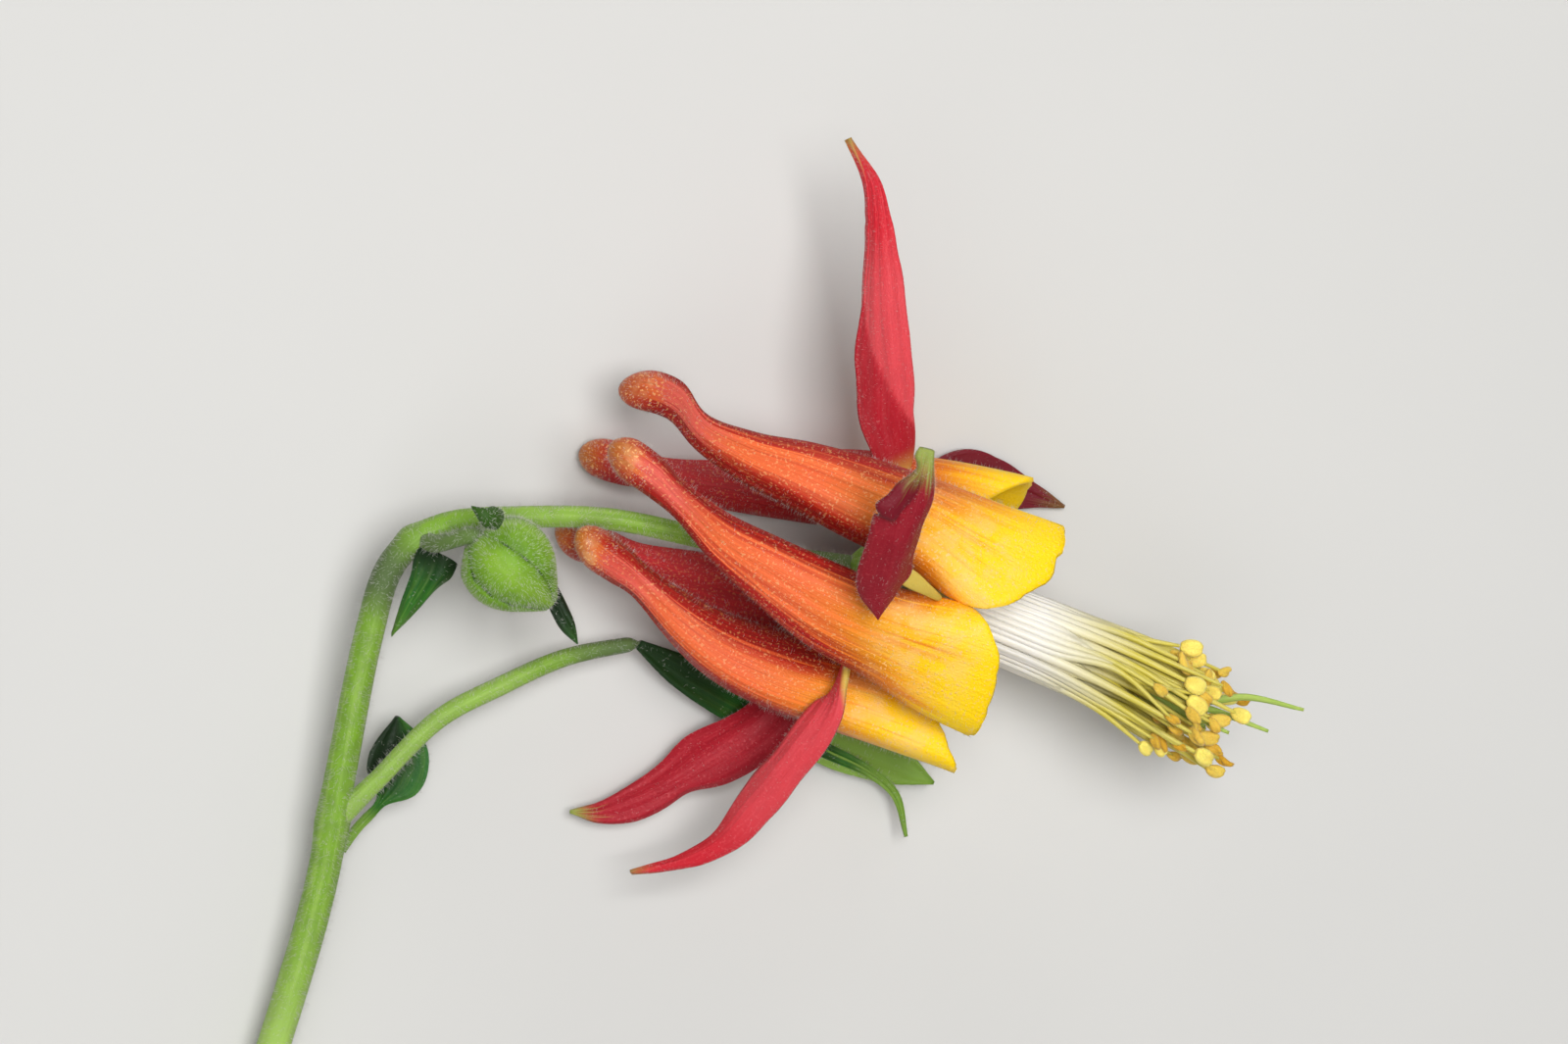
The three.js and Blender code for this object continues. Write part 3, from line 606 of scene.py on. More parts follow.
def spread_out(tree, value, low, high, new_low=0.0, new_high=1.0):
    """value from low to high, mapped smoothly to a new span."""
    made = node(tree, "ShaderNodeMapRange", {
        "Value": value, "From Min": low, "From Max": high,
        "To Min": new_low, "To Max": new_high}, interpolation_type="SMOOTHSTEP")
    return made.outputs["Result"]


def surface_lay(tree):
    """The three numbers of the surface's lay: across or around it, its face, and along it."""
    lay = node(tree, "ShaderNodeAttribute", attribute_name="lay").outputs["Vector"]
    return tuple(node(tree, "ShaderNodeSeparateXYZ", {0: lay}).outputs)


def surface_mark(tree):
    """The mark that the piece's maker left on its surface."""
    return node(tree, "ShaderNodeAttribute", attribute_name="mark").outputs["Fac"]


def between(first, second, share):
    """A colour on the way from one to another."""
    return tuple(a + share * (b - a) for a, b in zip(first, second))


def new_group(name, inputs, outputs):
    """An empty shader group with number inputs and outputs."""
    group = bpy.data.node_groups.new(name, "ShaderNodeTree")
    for label, default in inputs:
        socket = group.interface.new_socket(label, in_out="INPUT", socket_type="NodeSocketFloat")
        socket.default_value = default
    for label in outputs:
        group.interface.new_socket(label, in_out="OUTPUT", socket_type="NodeSocketFloat")
    return group, group.nodes.new("NodeGroupInput"), group.nodes.new("NodeGroupOutput")


def running_veins():
    """Streaks that run along a piece: how many lie across it and how soon they change."""
    name = "Running veins"
    if name in bpy.data.node_groups:
        return bpy.data.node_groups[name]
    group, given, out = new_group(name, [("Across", 8.0), ("Along", 2.0), ("Seed", 0.0)],
                                  ["Streak", "Fine", "Line", "Height"])
    x, y, z = surface_lay(group)
    across, along = given.outputs["Across"], given.outputs["Along"]
    place = node(group, "ShaderNodeCombineXYZ", {
        0: times(group, x, across), 1: times(group, y, across), 2: times(group, z, along),
    }).outputs[0]

    def noise(scale, detail, roughness, distortion):
        return node(group, "ShaderNodeTexNoise", {
            "Vector": place, "W": given.outputs["Seed"], "Scale": scale, "Detail": detail,
            "Roughness": roughness, "Distortion": distortion}, noise_dimensions="4D",
        ).outputs["Fac"]

    broad, fine = noise(1.0, 3.0, 0.55, 0.35), noise(3.2, 4.0, 0.6, 0.2)
    # a thin line runs wherever the broad noise crosses its middle
    middle = maths(group, "ABSOLUTE", maths(group, "SUBTRACT", broad, 0.52))
    results = {
        "Line": spread_out(group, middle, 0.05, 0.012),
        "Streak": spread_out(group, broad, 0.42, 0.66),
        "Fine": spread_out(group, fine, 0.44, 0.64),
        "Height": maths(group, "ADD", times(group, broad, 0.6), times(group, fine, 0.4)),
    }
    for label, result in results.items():
        group.links.new(result, out.inputs[label])
    return group


def cell_grain():
    """The grain of a plant's skin: tiny rounded cells and soft mottling."""
    name = "Cell grain"
    if name in bpy.data.node_groups:
        return bpy.data.node_groups[name]
    group, given, out = new_group(
        name, [("Cells per mm", 9.0), ("Mottle per mm", 0.9)], ["Height", "Mottle", "Glint"])
    place = node(group, "ShaderNodeTexCoord").outputs["Object"]
    cell_scale = times(group, given.outputs["Cells per mm"], 1 / MM)
    mottle_scale = times(group, given.outputs["Mottle per mm"], 1 / MM)
    cells = node(group, "ShaderNodeTexVoronoi", {"Vector": place, "Scale": cell_scale},
                 feature="SMOOTH_F1").outputs["Distance"]
    rough = node(group, "ShaderNodeTexNoise", {
        "Vector": place, "Scale": times(group, cell_scale, 0.7), "Detail": 2.0}).outputs["Fac"]
    soft = node(group, "ShaderNodeTexNoise", {
        "Vector": place, "Scale": mottle_scale, "Detail": 3.0, "Distortion": 0.4}).outputs["Fac"]
    results = {
        "Height": maths(group, "SUBTRACT", times(group, rough, 0.8), cells),
        "Mottle": spread_out(group, soft, 0.35, 0.68),
        "Glint": spread_out(group, rough, 0.58, 0.67),
    }
    for label, result in results.items():
        group.links.new(result, out.inputs[label])
    return group


def new_material(name, roughness, flesh=0.0, flesh_radius=(0.9, 0.4, 0.2), sheen=0.0, coat=0.0,
                 coat_roughness=0.35):
    """A material with its shader's plain values set; returns it with its tree and shader."""
    material = bpy.data.materials.new(name)
    material.use_nodes = True
    shader = material.node_tree.nodes["Principled BSDF"]
    plain = {
        "Roughness": roughness, "Specular IOR Level": 0.25,
        "Subsurface Weight": flesh, "Subsurface Radius": flesh_radius,
        "Subsurface Scale": 0.6 * MM, "Sheen Weight": sheen, "Sheen Roughness": 0.4,
        "Coat Weight": coat, "Coat Roughness": coat_roughness,
    }
    for label, value in plain.items():
        shader.inputs[label].default_value = value
    return material, material.node_tree, shader


def skin_relief(tree, shader, veins=None, veins_depth=0.03, cells_depth=0.012, per_mm=9.0):
    """Bump from the cell grain and, if given, from veins. Depths are millimetres."""
    grain = node(tree, "ShaderNodeGroup", node_tree=cell_grain())
    grain.inputs["Cells per mm"].default_value = per_mm
    relief = node(tree, "ShaderNodeBump", {
        "Height": grain.outputs["Height"], "Distance": cells_depth * MM, "Strength": 1.0})
    if veins is not None:
        relief = node(tree, "ShaderNodeBump", {
            "Height": veins, "Distance": veins_depth * MM, "Strength": 1.0,
            "Normal": relief.outputs["Normal"]})
    tree.links.new(relief.outputs["Normal"], shader.inputs["Normal"])
    return grain


def veins_in(tree, across, along, seed):
    """The running veins at a finish's own spacing."""
    made = node(tree, "ShaderNodeGroup", node_tree=running_veins())
    for label, value in (("Across", across), ("Along", along), ("Seed", seed)):
        made.inputs[label].default_value = value
    return made


def glossy_cells(tree, shader, grain, dull, glossy):
    """Roughness that falls where the skin's cells catch the light."""
    tree.links.new(spread_out(tree, grain.outputs["Glint"], 0, 1, dull, glossy),
                   shader.inputs["Roughness"])


def petal_finish(name, colours, spur_shade, ripe, seed):
    """Amber bulb, coral spur and yellow blade, with red flanks and dark red lines."""
    material, tree, shader = new_material(name, 0.46, flesh=0.14, coat=0.04, coat_roughness=0.3)
    _, out, along = surface_lay(tree)
    veins = veins_in(tree, 7.0, 2.0, seed)
    lines = veins_in(tree, 13.0, 1.6, seed + 5)
    grain = skin_relief(tree, shader, lines.outputs["Height"], 0.1, 0.035, 9.0)
    glints = grain.outputs["Glint"]
    red, coral = tuple(colours.petal_red), tuple(colours.petal_coral)
    pale, yellow = tuple(colours.petal_pale), tuple(colours.petal_yellow)
    orange = tuple(colours.petal_orange)
    amber = between(tuple(colours.spur_amber), red, ripe)
    rose = between(coral, tuple(colours.sepal_pink), 0.6)

    # where one colour gives way to the next wanders with the streaks
    uneven = maths(tree, "SUBTRACT", veins.outputs["Streak"], 0.5)
    wander = maths(tree, "ADD", along, times(tree, uneven, -0.05))
    body = ramp(tree, wander, [
        (0.02, amber), (0.08, between(amber, red, 0.35)), (0.13, between(amber, coral, 0.6)),
        (0.18, rose), (0.32, rose), (0.42, coral), (0.60, coral),
        (0.69, between(coral, orange, 0.5)), (0.76, between(orange, yellow, 0.25)),
        (0.82, between(orange, yellow, 0.75)), (0.88, yellow)])
    flank = ramp(tree, wander, [
        (0.02, between(amber, red, 0.15)), (0.10, between(amber, red, 0.75)), (0.17, red),
        (0.71, red), (0.77, between(red, orange, 0.35)), (0.83, between(red, orange, 0.85)),
        (0.89, between(orange, yellow, 0.6)), (0.94, yellow)])
    to_flank = maths(tree, "ADD", out, times(tree, uneven, 0.3))
    colour = mixed(tree, spread_out(tree, to_flank, 0.97, 0.6), body, flank)

    # dark red lines, closest on the flanks
    held = times(tree, spread_out(tree, along, 0.88, 0.7), spread_out(tree, along, 0.08, 0.2))
    thick = spread_out(tree, out, 1.0, 0.5, 0.25, 0.95)
    drawn = maths(tree, "MAXIMUM", lines.outputs["Line"],
                  times(tree, lines.outputs["Fine"], 0.5))
    drawn = maths(tree, "MAXIMUM", drawn, times(tree, veins.outputs["Line"], 0.8))
    colour = mixed(tree, times(tree, drawn, held, thick), colour, between(red, (0, 0, 0), 0.55))

    # orange lines run on into the blade
    runs = times(tree, lines.outputs["Streak"], veins.outputs["Streak"], 0.9,
                 spread_out(tree, along, 0.94, 0.85), spread_out(tree, along, 0.72, 0.8))
    colour = mixed(tree, runs, colour, between(orange, red, 0.25))

    # a pale bloom lies on the blade's middle and on the clear bulb: a painted sheen and highlight,
    # speckled by the cells
    middle = times(tree, spread_out(tree, along, 0.72, 0.8), spread_out(tree, along, 0.97, 0.9),
                   spread_out(tree, out, 0.5, 0.95), 0.8)
    bulb = times(tree, spread_out(tree, along, 0.135, 0.11),
                 spread_out(tree, along, 0.03, 0.08), spread_out(tree, out, 0.5, 0.95, 0.0, 0.8))
    speckle = maths(tree, "MAXIMUM", times(tree, glints, 0.8),
                    times(tree, grain.outputs["Mottle"], 0.5))
    gleam = times(tree, maths(tree, "MAXIMUM", middle, bulb), speckle)
    colour = mixed(tree, gleam, colour, pale)
    # painted glints where the cells catch the light, strongest on the bulb
    glint = times(tree, glints, spread_out(tree, along, 0.2, 0.12, 0.4, 0.75))
    colour = mixed(tree, glint, colour, pale)
    # the back petals' spurs are painted a darker crimson, a painted shade
    if spur_shade:
        low = times(tree, spread_out(tree, along, 0.86, 0.66),
                    spread_out(tree, along, 0.06, 0.2), spur_shade)
        colour = mixed(tree, low, colour, between(
            tuple(colours.sepal_red), tuple(colours.sepal_pink), 0.3))
    colour = mixed(tree, times(tree, surface_mark(tree), 0.85), colour, yellow)
    tree.links.new(colour, shader.inputs["Base Color"])
    glossy_cells(tree, shader, grain, 0.52, 0.25)
    tree.links.new(spread_out(tree, along, 0.17, 0.1, 0.04, 0.4), shader.inputs["Coat Weight"])
    return material


def sepal_finish(name, colours, seed, deep=0.0, shade_facet=0.0, claw=0.26, slant=0.0, tip=0.9,
                 tip_from=0.87, lit_sheen=0.0):
    """Crimson with paler veins, a pale claw and a green tip.

    deep turns it towards the maroon of a shaded sepal, a painted shade. facet darkens its marked
    part, a painted shade on a fold turned away from the light, and blush pales the rest, a
    painted sheen of the lit side. The claw ends at a share of its length, slanted across it,
    and the tip is so green, from there.
    """
    material, tree, shader = new_material(name, 0.5, flesh=0.12)
    across, _, along = surface_lay(tree)
    veins = veins_in(tree, 5.0, 3.0, seed)
    grain = skin_relief(tree, shader, veins.outputs["Height"], 0.08, 0.025, 8.0)
    maroon = tuple(colours.sepal_deep)
    # deep darkens the whole sepal towards maroon, a painted shade
    red = between(tuple(colours.sepal_red), maroon, deep)
    pink = between(tuple(colours.sepal_pink), red, deep)
    mark = surface_mark(tree)
    # a paler line where the midrib runs
    rib = spread_out(tree, maths(tree, "ABSOLUTE", across), 0.12, 0.0)
    layers = [
        (times(tree, veins.outputs["Fine"], 0.2), pink),
        (times(tree, grain.outputs["Mottle"], 0.2), tuple(0.6 * c for c in red)),
        # painted glints where the cells catch the light
        (times(tree, grain.outputs["Glint"], 0.4), pink),
        (times(tree, rib, 0.15), pink),
    ]
    # the unmarked part is painted a paler pink that fades before the tip, a painted sheen of the
    # lit side
    if lit_sheen:
        layers.append((times(tree, maths(tree, "SUBTRACT", 1.0, mark),
                             spread_out(tree, along, 0.8, 0.6, 0.0, lit_sheen)), pink))
    # the marked part is painted maroon, a painted shade on the fold turned away from the light
    if shade_facet:
        layers.append((times(tree, mark, shade_facet), maroon))
    foot = spread_out(tree, maths(tree, "ADD", along, times(tree, across, slant)),
                      claw, claw - 0.1)
    layers.append((times(tree, foot, 0.9), tuple(colours.claw_yellow)))
    uneven = times(tree, maths(tree, "SUBTRACT", veins.outputs["Streak"], 0.5), 0.06)
    end = spread_out(tree, maths(tree, "ADD", along, uneven), tip_from, tip_from + 0.13)
    layers.append((times(tree, end, tip), tuple(colours.tip_green)))
    colour = red
    for share, over in layers:
        colour = mixed(tree, share, colour, over)
    tree.links.new(colour, shader.inputs["Base Color"])
    glossy_cells(tree, shader, grain, 0.55, 0.36)
    return material


def green_finish(name, shades, seed, across=4.0, along=1.5, flesh=0.2, streaks=0.3):
    """Green tissue in three shades: its own, a lighter and a darker.

    It is the lighter one where its mark is 1 and the darker one where its mark is -1.
    """
    base, light, dark = (tuple(shade) for shade in shades)
    material, tree, shader = new_material(
        name, 0.5, flesh=flesh, flesh_radius=(0.5, 0.8, 0.2), sheen=0.03)
    veins = veins_in(tree, across, along, seed)
    grain = skin_relief(tree, shader, veins.outputs["Height"], 0.05, 0.02, 7.0)
    colour = mixed(tree, times(tree, veins.outputs["Streak"], streaks), base, light)
    colour = mixed(tree, times(tree, grain.outputs["Mottle"], 0.3), colour, dark)
    mark = surface_mark(tree)
    colour = mixed(tree, spread_out(tree, mark, 0.0, 1.0), colour, light)
    colour = mixed(tree, spread_out(tree, mark, 0.0, -1.0), colour, dark)
    tree.links.new(colour, shader.inputs["Base Color"])
    glossy_cells(tree, shader, grain, 0.58, 0.4)
    return material


def hair_finish(colours):
    """Clear, pale hairs, paler towards their tips, a painted glint of their glistening heads."""
    name = "Fine hairs"
    if name in bpy.data.materials:
        return bpy.data.materials[name]
    material, tree, shader = new_material(name, 0.3)
    _, _, along = surface_lay(tree)
    root = tuple(0.6 * c for c in colours.hair_white)
    colour = ramp(tree, along, [(0.2, root), (0.8, tuple(colours.hair_white))])
    tree.links.new(colour, shader.inputs["Base Color"])
    return material


# ---- Settings ----------------------------------------------------------------------------


def colour_setting(name, description, red, green, blue):
    """A colour, given from 0 to 255."""
    return bpy.props.FloatVectorProperty(
        name=name, description=description, default=tint(red, green, blue), size=3, min=0,
        max=1, subtype="COLOR")


def length_setting(name, description, millimetres):
    """A length that the user sees in the scene's own unit."""
    return bpy.props.FloatProperty(
        name=name, description=description, default=millimetres * MM, min=0, precision=5,
        unit="LENGTH", subtype="DISTANCE")


class ColumbineColours(bpy.types.PropertyGroup):
    """Colours of the plant's tissues."""

    petal_red: colour_setting("Spur red", "Red of the spurs and flanks", 186, 26, 18)
    petal_coral: colour_setting("Petal coral", "Coral of a petal's body", 248, 114, 58)
    # the pale colour of the painted sheen and glints on the petals and bulbs
    petal_pale: colour_setting("Petal bloom", "Pale bloom on a petal's outer side", 246, 196, 130)
    petal_orange: colour_setting("Petal orange", "Orange where the blade begins", 246, 146, 20)
    petal_yellow: colour_setting("Blade yellow", "Yellow of the blades", 255, 210, 0)
    spur_amber: colour_setting("Bulb amber", "Amber of the spurs' bulbs", 200, 118, 34)
    sepal_red: colour_setting("Sepal red", "Red of the sepals", 204, 30, 46)
    sepal_deep: colour_setting("Sepal maroon", "Maroon of a shaded sepal", 110, 12, 30)
    # the vein pink also paints the sepals' sheen and glints
    sepal_pink: colour_setting("Sepal vein", "Pink of the sepals' veins", 226, 92, 98)
    claw_yellow: colour_setting("Sepal claw", "Pale yellow of a sepal's claw", 226, 200, 90)
    tip_green: colour_setting("Sepal tip", "Green of a sepal's tip", 150, 178, 84)
    stem_green: colour_setting("Stem green", "Green of the stem", 120, 162, 44)
    stem_light: colour_setting("Stem light", "Lighter lines of the stem", 178, 208, 112)
    stem_dark: colour_setting("Stem dark", "Darker parts of the stem", 84, 104, 62)
    # the bract light and dark also paint light and shade on the bracts
    bract_green: colour_setting("Bract green", "Green of the bracts", 34, 100, 26)
    bract_light: colour_setting("Bract light", "Lighter veins of the bracts", 118, 152, 58)
    bract_dark: colour_setting("Bract dark", "Darker parts of the bracts", 18, 38, 14)
    bud_green: colour_setting("Bud green", "Green of the bud", 106, 150, 34)
    bud_light: colour_setting("Bud light", "Lighter backs of the bud's sepals", 150, 190, 60)
    bud_dark: colour_setting("Bud dark", "Dark green of the bud's seams", 44, 80, 16)
    filament_white: colour_setting("Filament white", "White of the filaments", 236, 234, 226)
    filament_green: colour_setting(
        "Filament tip", "Yellow green of the filaments' ends", 202, 188, 64)
    anther_pale: colour_setting("Fresh anther", "Pale yellow of a full anther", 248, 230, 112)
    anther_brown: colour_setting("Spent anther", "Mustard of an emptied anther", 208, 156, 36)
    style_green: colour_setting("Style green", "Green of the styles", 168, 188, 92)
    hair_white: colour_setting("Hair white", "White of the fine hairs", 236, 234, 226)
    table: colour_setting("Table", "Colour of the table top", 206, 205, 202)


class ColumbineSizes(bpy.types.PropertyGroup):
    """Sizes that a maker would change."""

    petal_wall: length_setting("Petal wall", "Thickness of a petal at its lip", 0.36)
    sepal_wall: length_setting("Sepal wall", "Thickness of a sepal at its midrib", 0.42)
    bract_wall: length_setting("Bract wall", "Thickness of a bract", 0.4)
    hair_length: length_setting("Hair length", "Mean length of the hairs", 0.24)
    hair_width: length_setting("Hair width", "Width of a hair at its foot", 0.018)
    hair_cover: bpy.props.FloatProperty(
        name="Hair cover", description="Hairs to the square millimetre of stem", default=32.0,
        min=0, max=60)
    lens: bpy.props.FloatProperty(
        name="Lens", description="Focal length of the camera", default=100.0, min=10,
        unit="CAMERA")
    camera_tilt: bpy.props.FloatProperty(
        name="Camera tilt", description="Angle of the camera off straight down",
        default=math.radians(14), subtype="ANGLE", unit="ROTATION")


# ---- Pieces ------------------------------------------------------------------------------


def hair_size(sizes, share=1.0):
    """Length and width of the hairs, in millimetres."""
    return share * sizes.hair_length / MM, share * sizes.hair_width / MM


def petal_place(form, t, angle, inset=0.0, relief=0.0):
    """Points on a petal at station t and angle about its own middle, 0 on the outer side."""
    t, angle = np.broadcast_arrays(np.asarray(t, float), angle)
    station = blend(PETAL["along"], t)
    along = form.get("shift", 0) + station * np.where(station > 0, form["tip"] / BLADE_REACH, 1)
    bulb = np.sqrt(np.clip(1 - (1 - t / BULB_END) ** 2, 0, None))
    bulb = np.where(t < BULB_END, bulb, 1)
    deep, wide = (np.maximum(0, blend(PETAL[key], t) * bulb - inset + relief)
                  for key in ("deep", "wide"))
    spread = form.get("spread", 0)
    out = blend(PETAL["out"], t) + blend(
        [form.get("droop", 0), 0, spread, spread, spread + form.get("tilt", 0)], t)
    turn = blend(form["turn"], t)
    egg = 1 + blend(PETAL["egg"], t) * np.cos(angle)
    return (in_flower(along, out, turn) + outward(turn) * (deep * np.cos(angle))[..., None]
            + around(turn) * (wide * np.sin(angle) * egg)[..., None])


def petal_skin(form, wall):
    """One spurred petal: closed bulb and tube, open blade with a scalloped lip."""
    seed = form["seed"]
    angle = all_round(PETAL_SIDES)
    ones = np.ones(PETAL_SIDES)
    lean = math.radians(form.get("lean", 0))
    lip = TUBE_END + (1 - TUBE_END) * (
        (1 + np.cos(angle + lean)) / 2) ** form.get("point", LIP_ROUNDNESS)
    # the lip's edge is a little uneven, with a shallow notch beside its longest point
    rim = step_up(np.cos(angle + lean), -0.2, 0.8)
    lip = lip + rim * (0.0028 * np.sin(6 * angle + 2.1 * seed)
                       + 0.0016 * np.sin(13 * angle + seed) + 0.0008 * np.sin(31 * angle))
    lip = lip - 0.008 * np.exp(-((np.sin((angle + lean - 0.25) / 2)) / 0.05) ** 2)
    meets, reach = form.get("meets", (0.0, 0.0))

    def folds(t):
        """Shallow channels along the spur and blade."""
        grow = step_up(t, 0.12, 0.3)
        curl = 0.05 * np.cos(5 * angle + seed + 1.5 * t) * step_up(t, 0.1, 0.25)
        fine = (0.026 * np.cos(11 * angle + 2 * seed - 2 * t) * np.cos(3 * angle + 5 * t)
                + 0.014 * np.cos(29 * angle + 3 * t) * np.cos(5 * angle - 7 * t))
        flare = 0.09 * step_up(t, 0.88, 1.0) * np.cos(3 * (angle + lean) + seed)
        channel = -0.08 * np.exp(-(np.sin(angle / 2) / 0.16) ** 2) * step_up(t, 0.2, 0.4)
        # a blade reaches out to the edge of the one beside it
        beside = reach * np.exp(-((np.sin((angle - meets) / 2)) / 0.3) ** 2)
        return (curl + fine * grow + flare + channel * step_up(-t, -0.95, -0.8)
                + beside * step_up(t, 0.74, 0.88))

    def stretch(start, end, count):
        """count stations after start, the last of them at end."""
        return [start + (end - start) * i / count * ones for i in range(1, count + 1)]

    rounding = [BULB_END * (1 - math.cos(PI / 2 * i / BULB_RINGS)) * ones
                for i in range(1, BULB_RINGS + 1)]
    tube_part = stretch(BULB_END, TUBE_END, TUBE_RINGS)
    lips = stretch(TUBE_END, lip, LIP_RINGS)
    cavity = stretch(CAVITY_END, TUBE_END, CAVITY_RINGS)
    rings, lays, marks = [], [], []

    def ring(t, inset, mark):
        rings.append(petal_place(form, t, angle, inset, folds(t)))
        # the pale band is turned towards the flower's upper side, where the camera and lamps are,
        # so that it is partly a painted light
        faced = angle + form.get("face", 0) * np.radians(blend(form["turn"], t))
        lays.append(np.stack([np.sin(faced), np.cos(faced), t], -1))
        marks.append(np.full(PETAL_SIDES, mark))

    # up the outside, over the lip and down the inside to the cavity's floor
    for t in rounding + tube_part + lips:
        ring(t, 0.0, 0.0)
    ring(lip + 0.004, wall / 2, 0.5)
    for t in lips[::-1] + cavity[::-1]:
        ring(t, wall + 0.2 * step_up(-t, -0.9, -0.7), 1.0)
    ring(CAVITY_END * ones, 1.4, 1.0)
    rings = np.array(rings)
    rest_on_table(rings)
    skin = Skin()
    skin.rings(rings, np.array(lays), np.array(marks))
    return skin


class COLUMBINE_OT_petals(bpy.types.Operator):
    """Grow the five spurred petals"""

    bl_idname = "columbine.petals"
    bl_label = "Petals"
    bl_options = {"REGISTER", "UNDO"}

    def execute(self, context):
        colours, sizes = context.scene.columbine_colours, context.scene.columbine_sizes
        for name, form in PETALS.items():
            skin = petal_skin(form, sizes.petal_wall / MM)
            # most on the flanks and the bulb
            skin.hairs(
                form["seed"], HAIR_COVER["petal"], *hair_size(sizes),
                chance=lambda lay, mark, at: (mark < 0.3) * (at[:, 2] > 0.1)
                * (0.2 + 0.8 * step_up(-lay[:, 1], -0.6, 0.2) + 0.9 * (lay[:, 2] < 0.2)),
                lean=0.15)
            finish = petal_finish(f"Petal {form['seed']}", colours, form.get("spur_shade", 0.0),
                                  form.get("ripe", 0.0), 3.7 * form["seed"])
            # a short foot holds the petal to the receptacle
            turn = blend(form["turn"], PETAL_FOOT)
            foot, lay = tube([in_flower(-0.2, 2.2, turn), in_flower(0.0, 2.8, turn),
                              petal_place(form, PETAL_FOOT, PI, 0.2)], [0.5, 0.42, 0.5], 8, 12)
            skin.rings(foot, lay * [1, 1, 0] + [0, 0, 0.84], 0.5)
            place_piece(skin, name, [finish, hair_finish(colours)])
        return {"FINISHED"}


def up_facet(t, u):
    """How far a point of the upright sepal lies past the fold that crosses its lower half."""
    return step_up(u + 1 - 6.3 * (t - 0.29), 0.0, 0.1)


def side_lobe(t, u):
    """The lobe of the front sepal that is folded over beside its tip."""
    line = 0.4 - 3.5 * (t - 0.685)
    return (step_up(t, 0.66, 0.7) * step_up(-t, -0.93, -0.87)
            * step_up(u - line, -0.08, 0.08))


# Folds that lift a sepal's surface, the unevenness of its edge, and how its finish differs.
# t runs along the sepal and u across it, from -1 to 1.
SEPAL_EXTRAS = {
    "sepal_up": dict(
        lift=lambda t, u: (-0.7 * np.clip(u + 1 - 6.3 * (t - 0.29), 0, 1) * step_up(t, 0.2, 0.4)
                           + 0.05 * np.cos(9 * t + 2) * u + 0.03 * np.cos(11 * u)),
        edge=lambda t, u: (0.05 * np.sin(23 * t + u) + 0.03 * np.sin(51 * t) + np.where(
            u > 0, 0.35 * bump(t, 0.5, 0.05) - 0.85 * bump(t, 0.28, 0.06)
            - 0.12 * bump(t, 0.79, 0.012), -0.2 * bump(t, 0.72, 0.1))),
        shade_facet=0.35, lit_sheen=0.5, tip_from=0.91, seed=11,
    ),
    "sepal_front": dict(
        lift=lambda t, u: (0.06 * np.cos(6 * u + 4 * t) + 0.45 * side_lobe(t, u) * (0.4 + u)
                           - 0.15 * bump(t, 0.64, 0.05) * step_up(u, -0.2, 0.3)),
        edge=lambda t, u: 0.04 * np.sin(19 * t + 2 * u) + np.where(
            u > 0, 0.45 * bump(t, 0.745, 0.04) - 0.12 * bump(t, 0.68, 0.02)
            - 0.8 * bump(t, 0.925, 0.045), 0.3 * bump(t, 0.3, 0.1)),
        deep=0.75, shade_facet=0.9, tip=0.8, tip_from=0.85, seed=12,
    ),
    "sepal_lower_front": dict(
        lift=lambda t, u: 0.04 * np.cos(8 * u + 5 * t) + 0.05 * np.sin(8 * t) * u,
        edge=lambda t, u: 0.05 * np.sin(21 * t + u) + 0.03 * np.sin(47 * t),
        lit_sheen=0.4, claw=0.15, slant=0.18, tip_from=0.92, seed=13,
    ),
    "sepal_lower_back": dict(
        lift=lambda t, u: 0.09 * np.cos(7 * u + 3 * t) + 0.1 * np.sin(7 * t) * u,
        edge=lambda t, u: 0.06 * np.sin(18 * t + 2 * u) + np.where(
            u > 0, 0.45 * bump(t, 0.6, 0.07), 0.2 * bump(t, 0.8, 0.06) - 0.45 * bump(
                t, 0.66, 0.05)),
        deep=0.5, seed=14,
    ),
    "sepal_right_back": dict(
        lift=lambda t, u: 0.06 * np.cos(8 * u + 3 * t),
        edge=lambda t, u: 0.05 * np.sin(20 * t + u),
        deep=1.0, tip=0.2, seed=15,
    ),
}


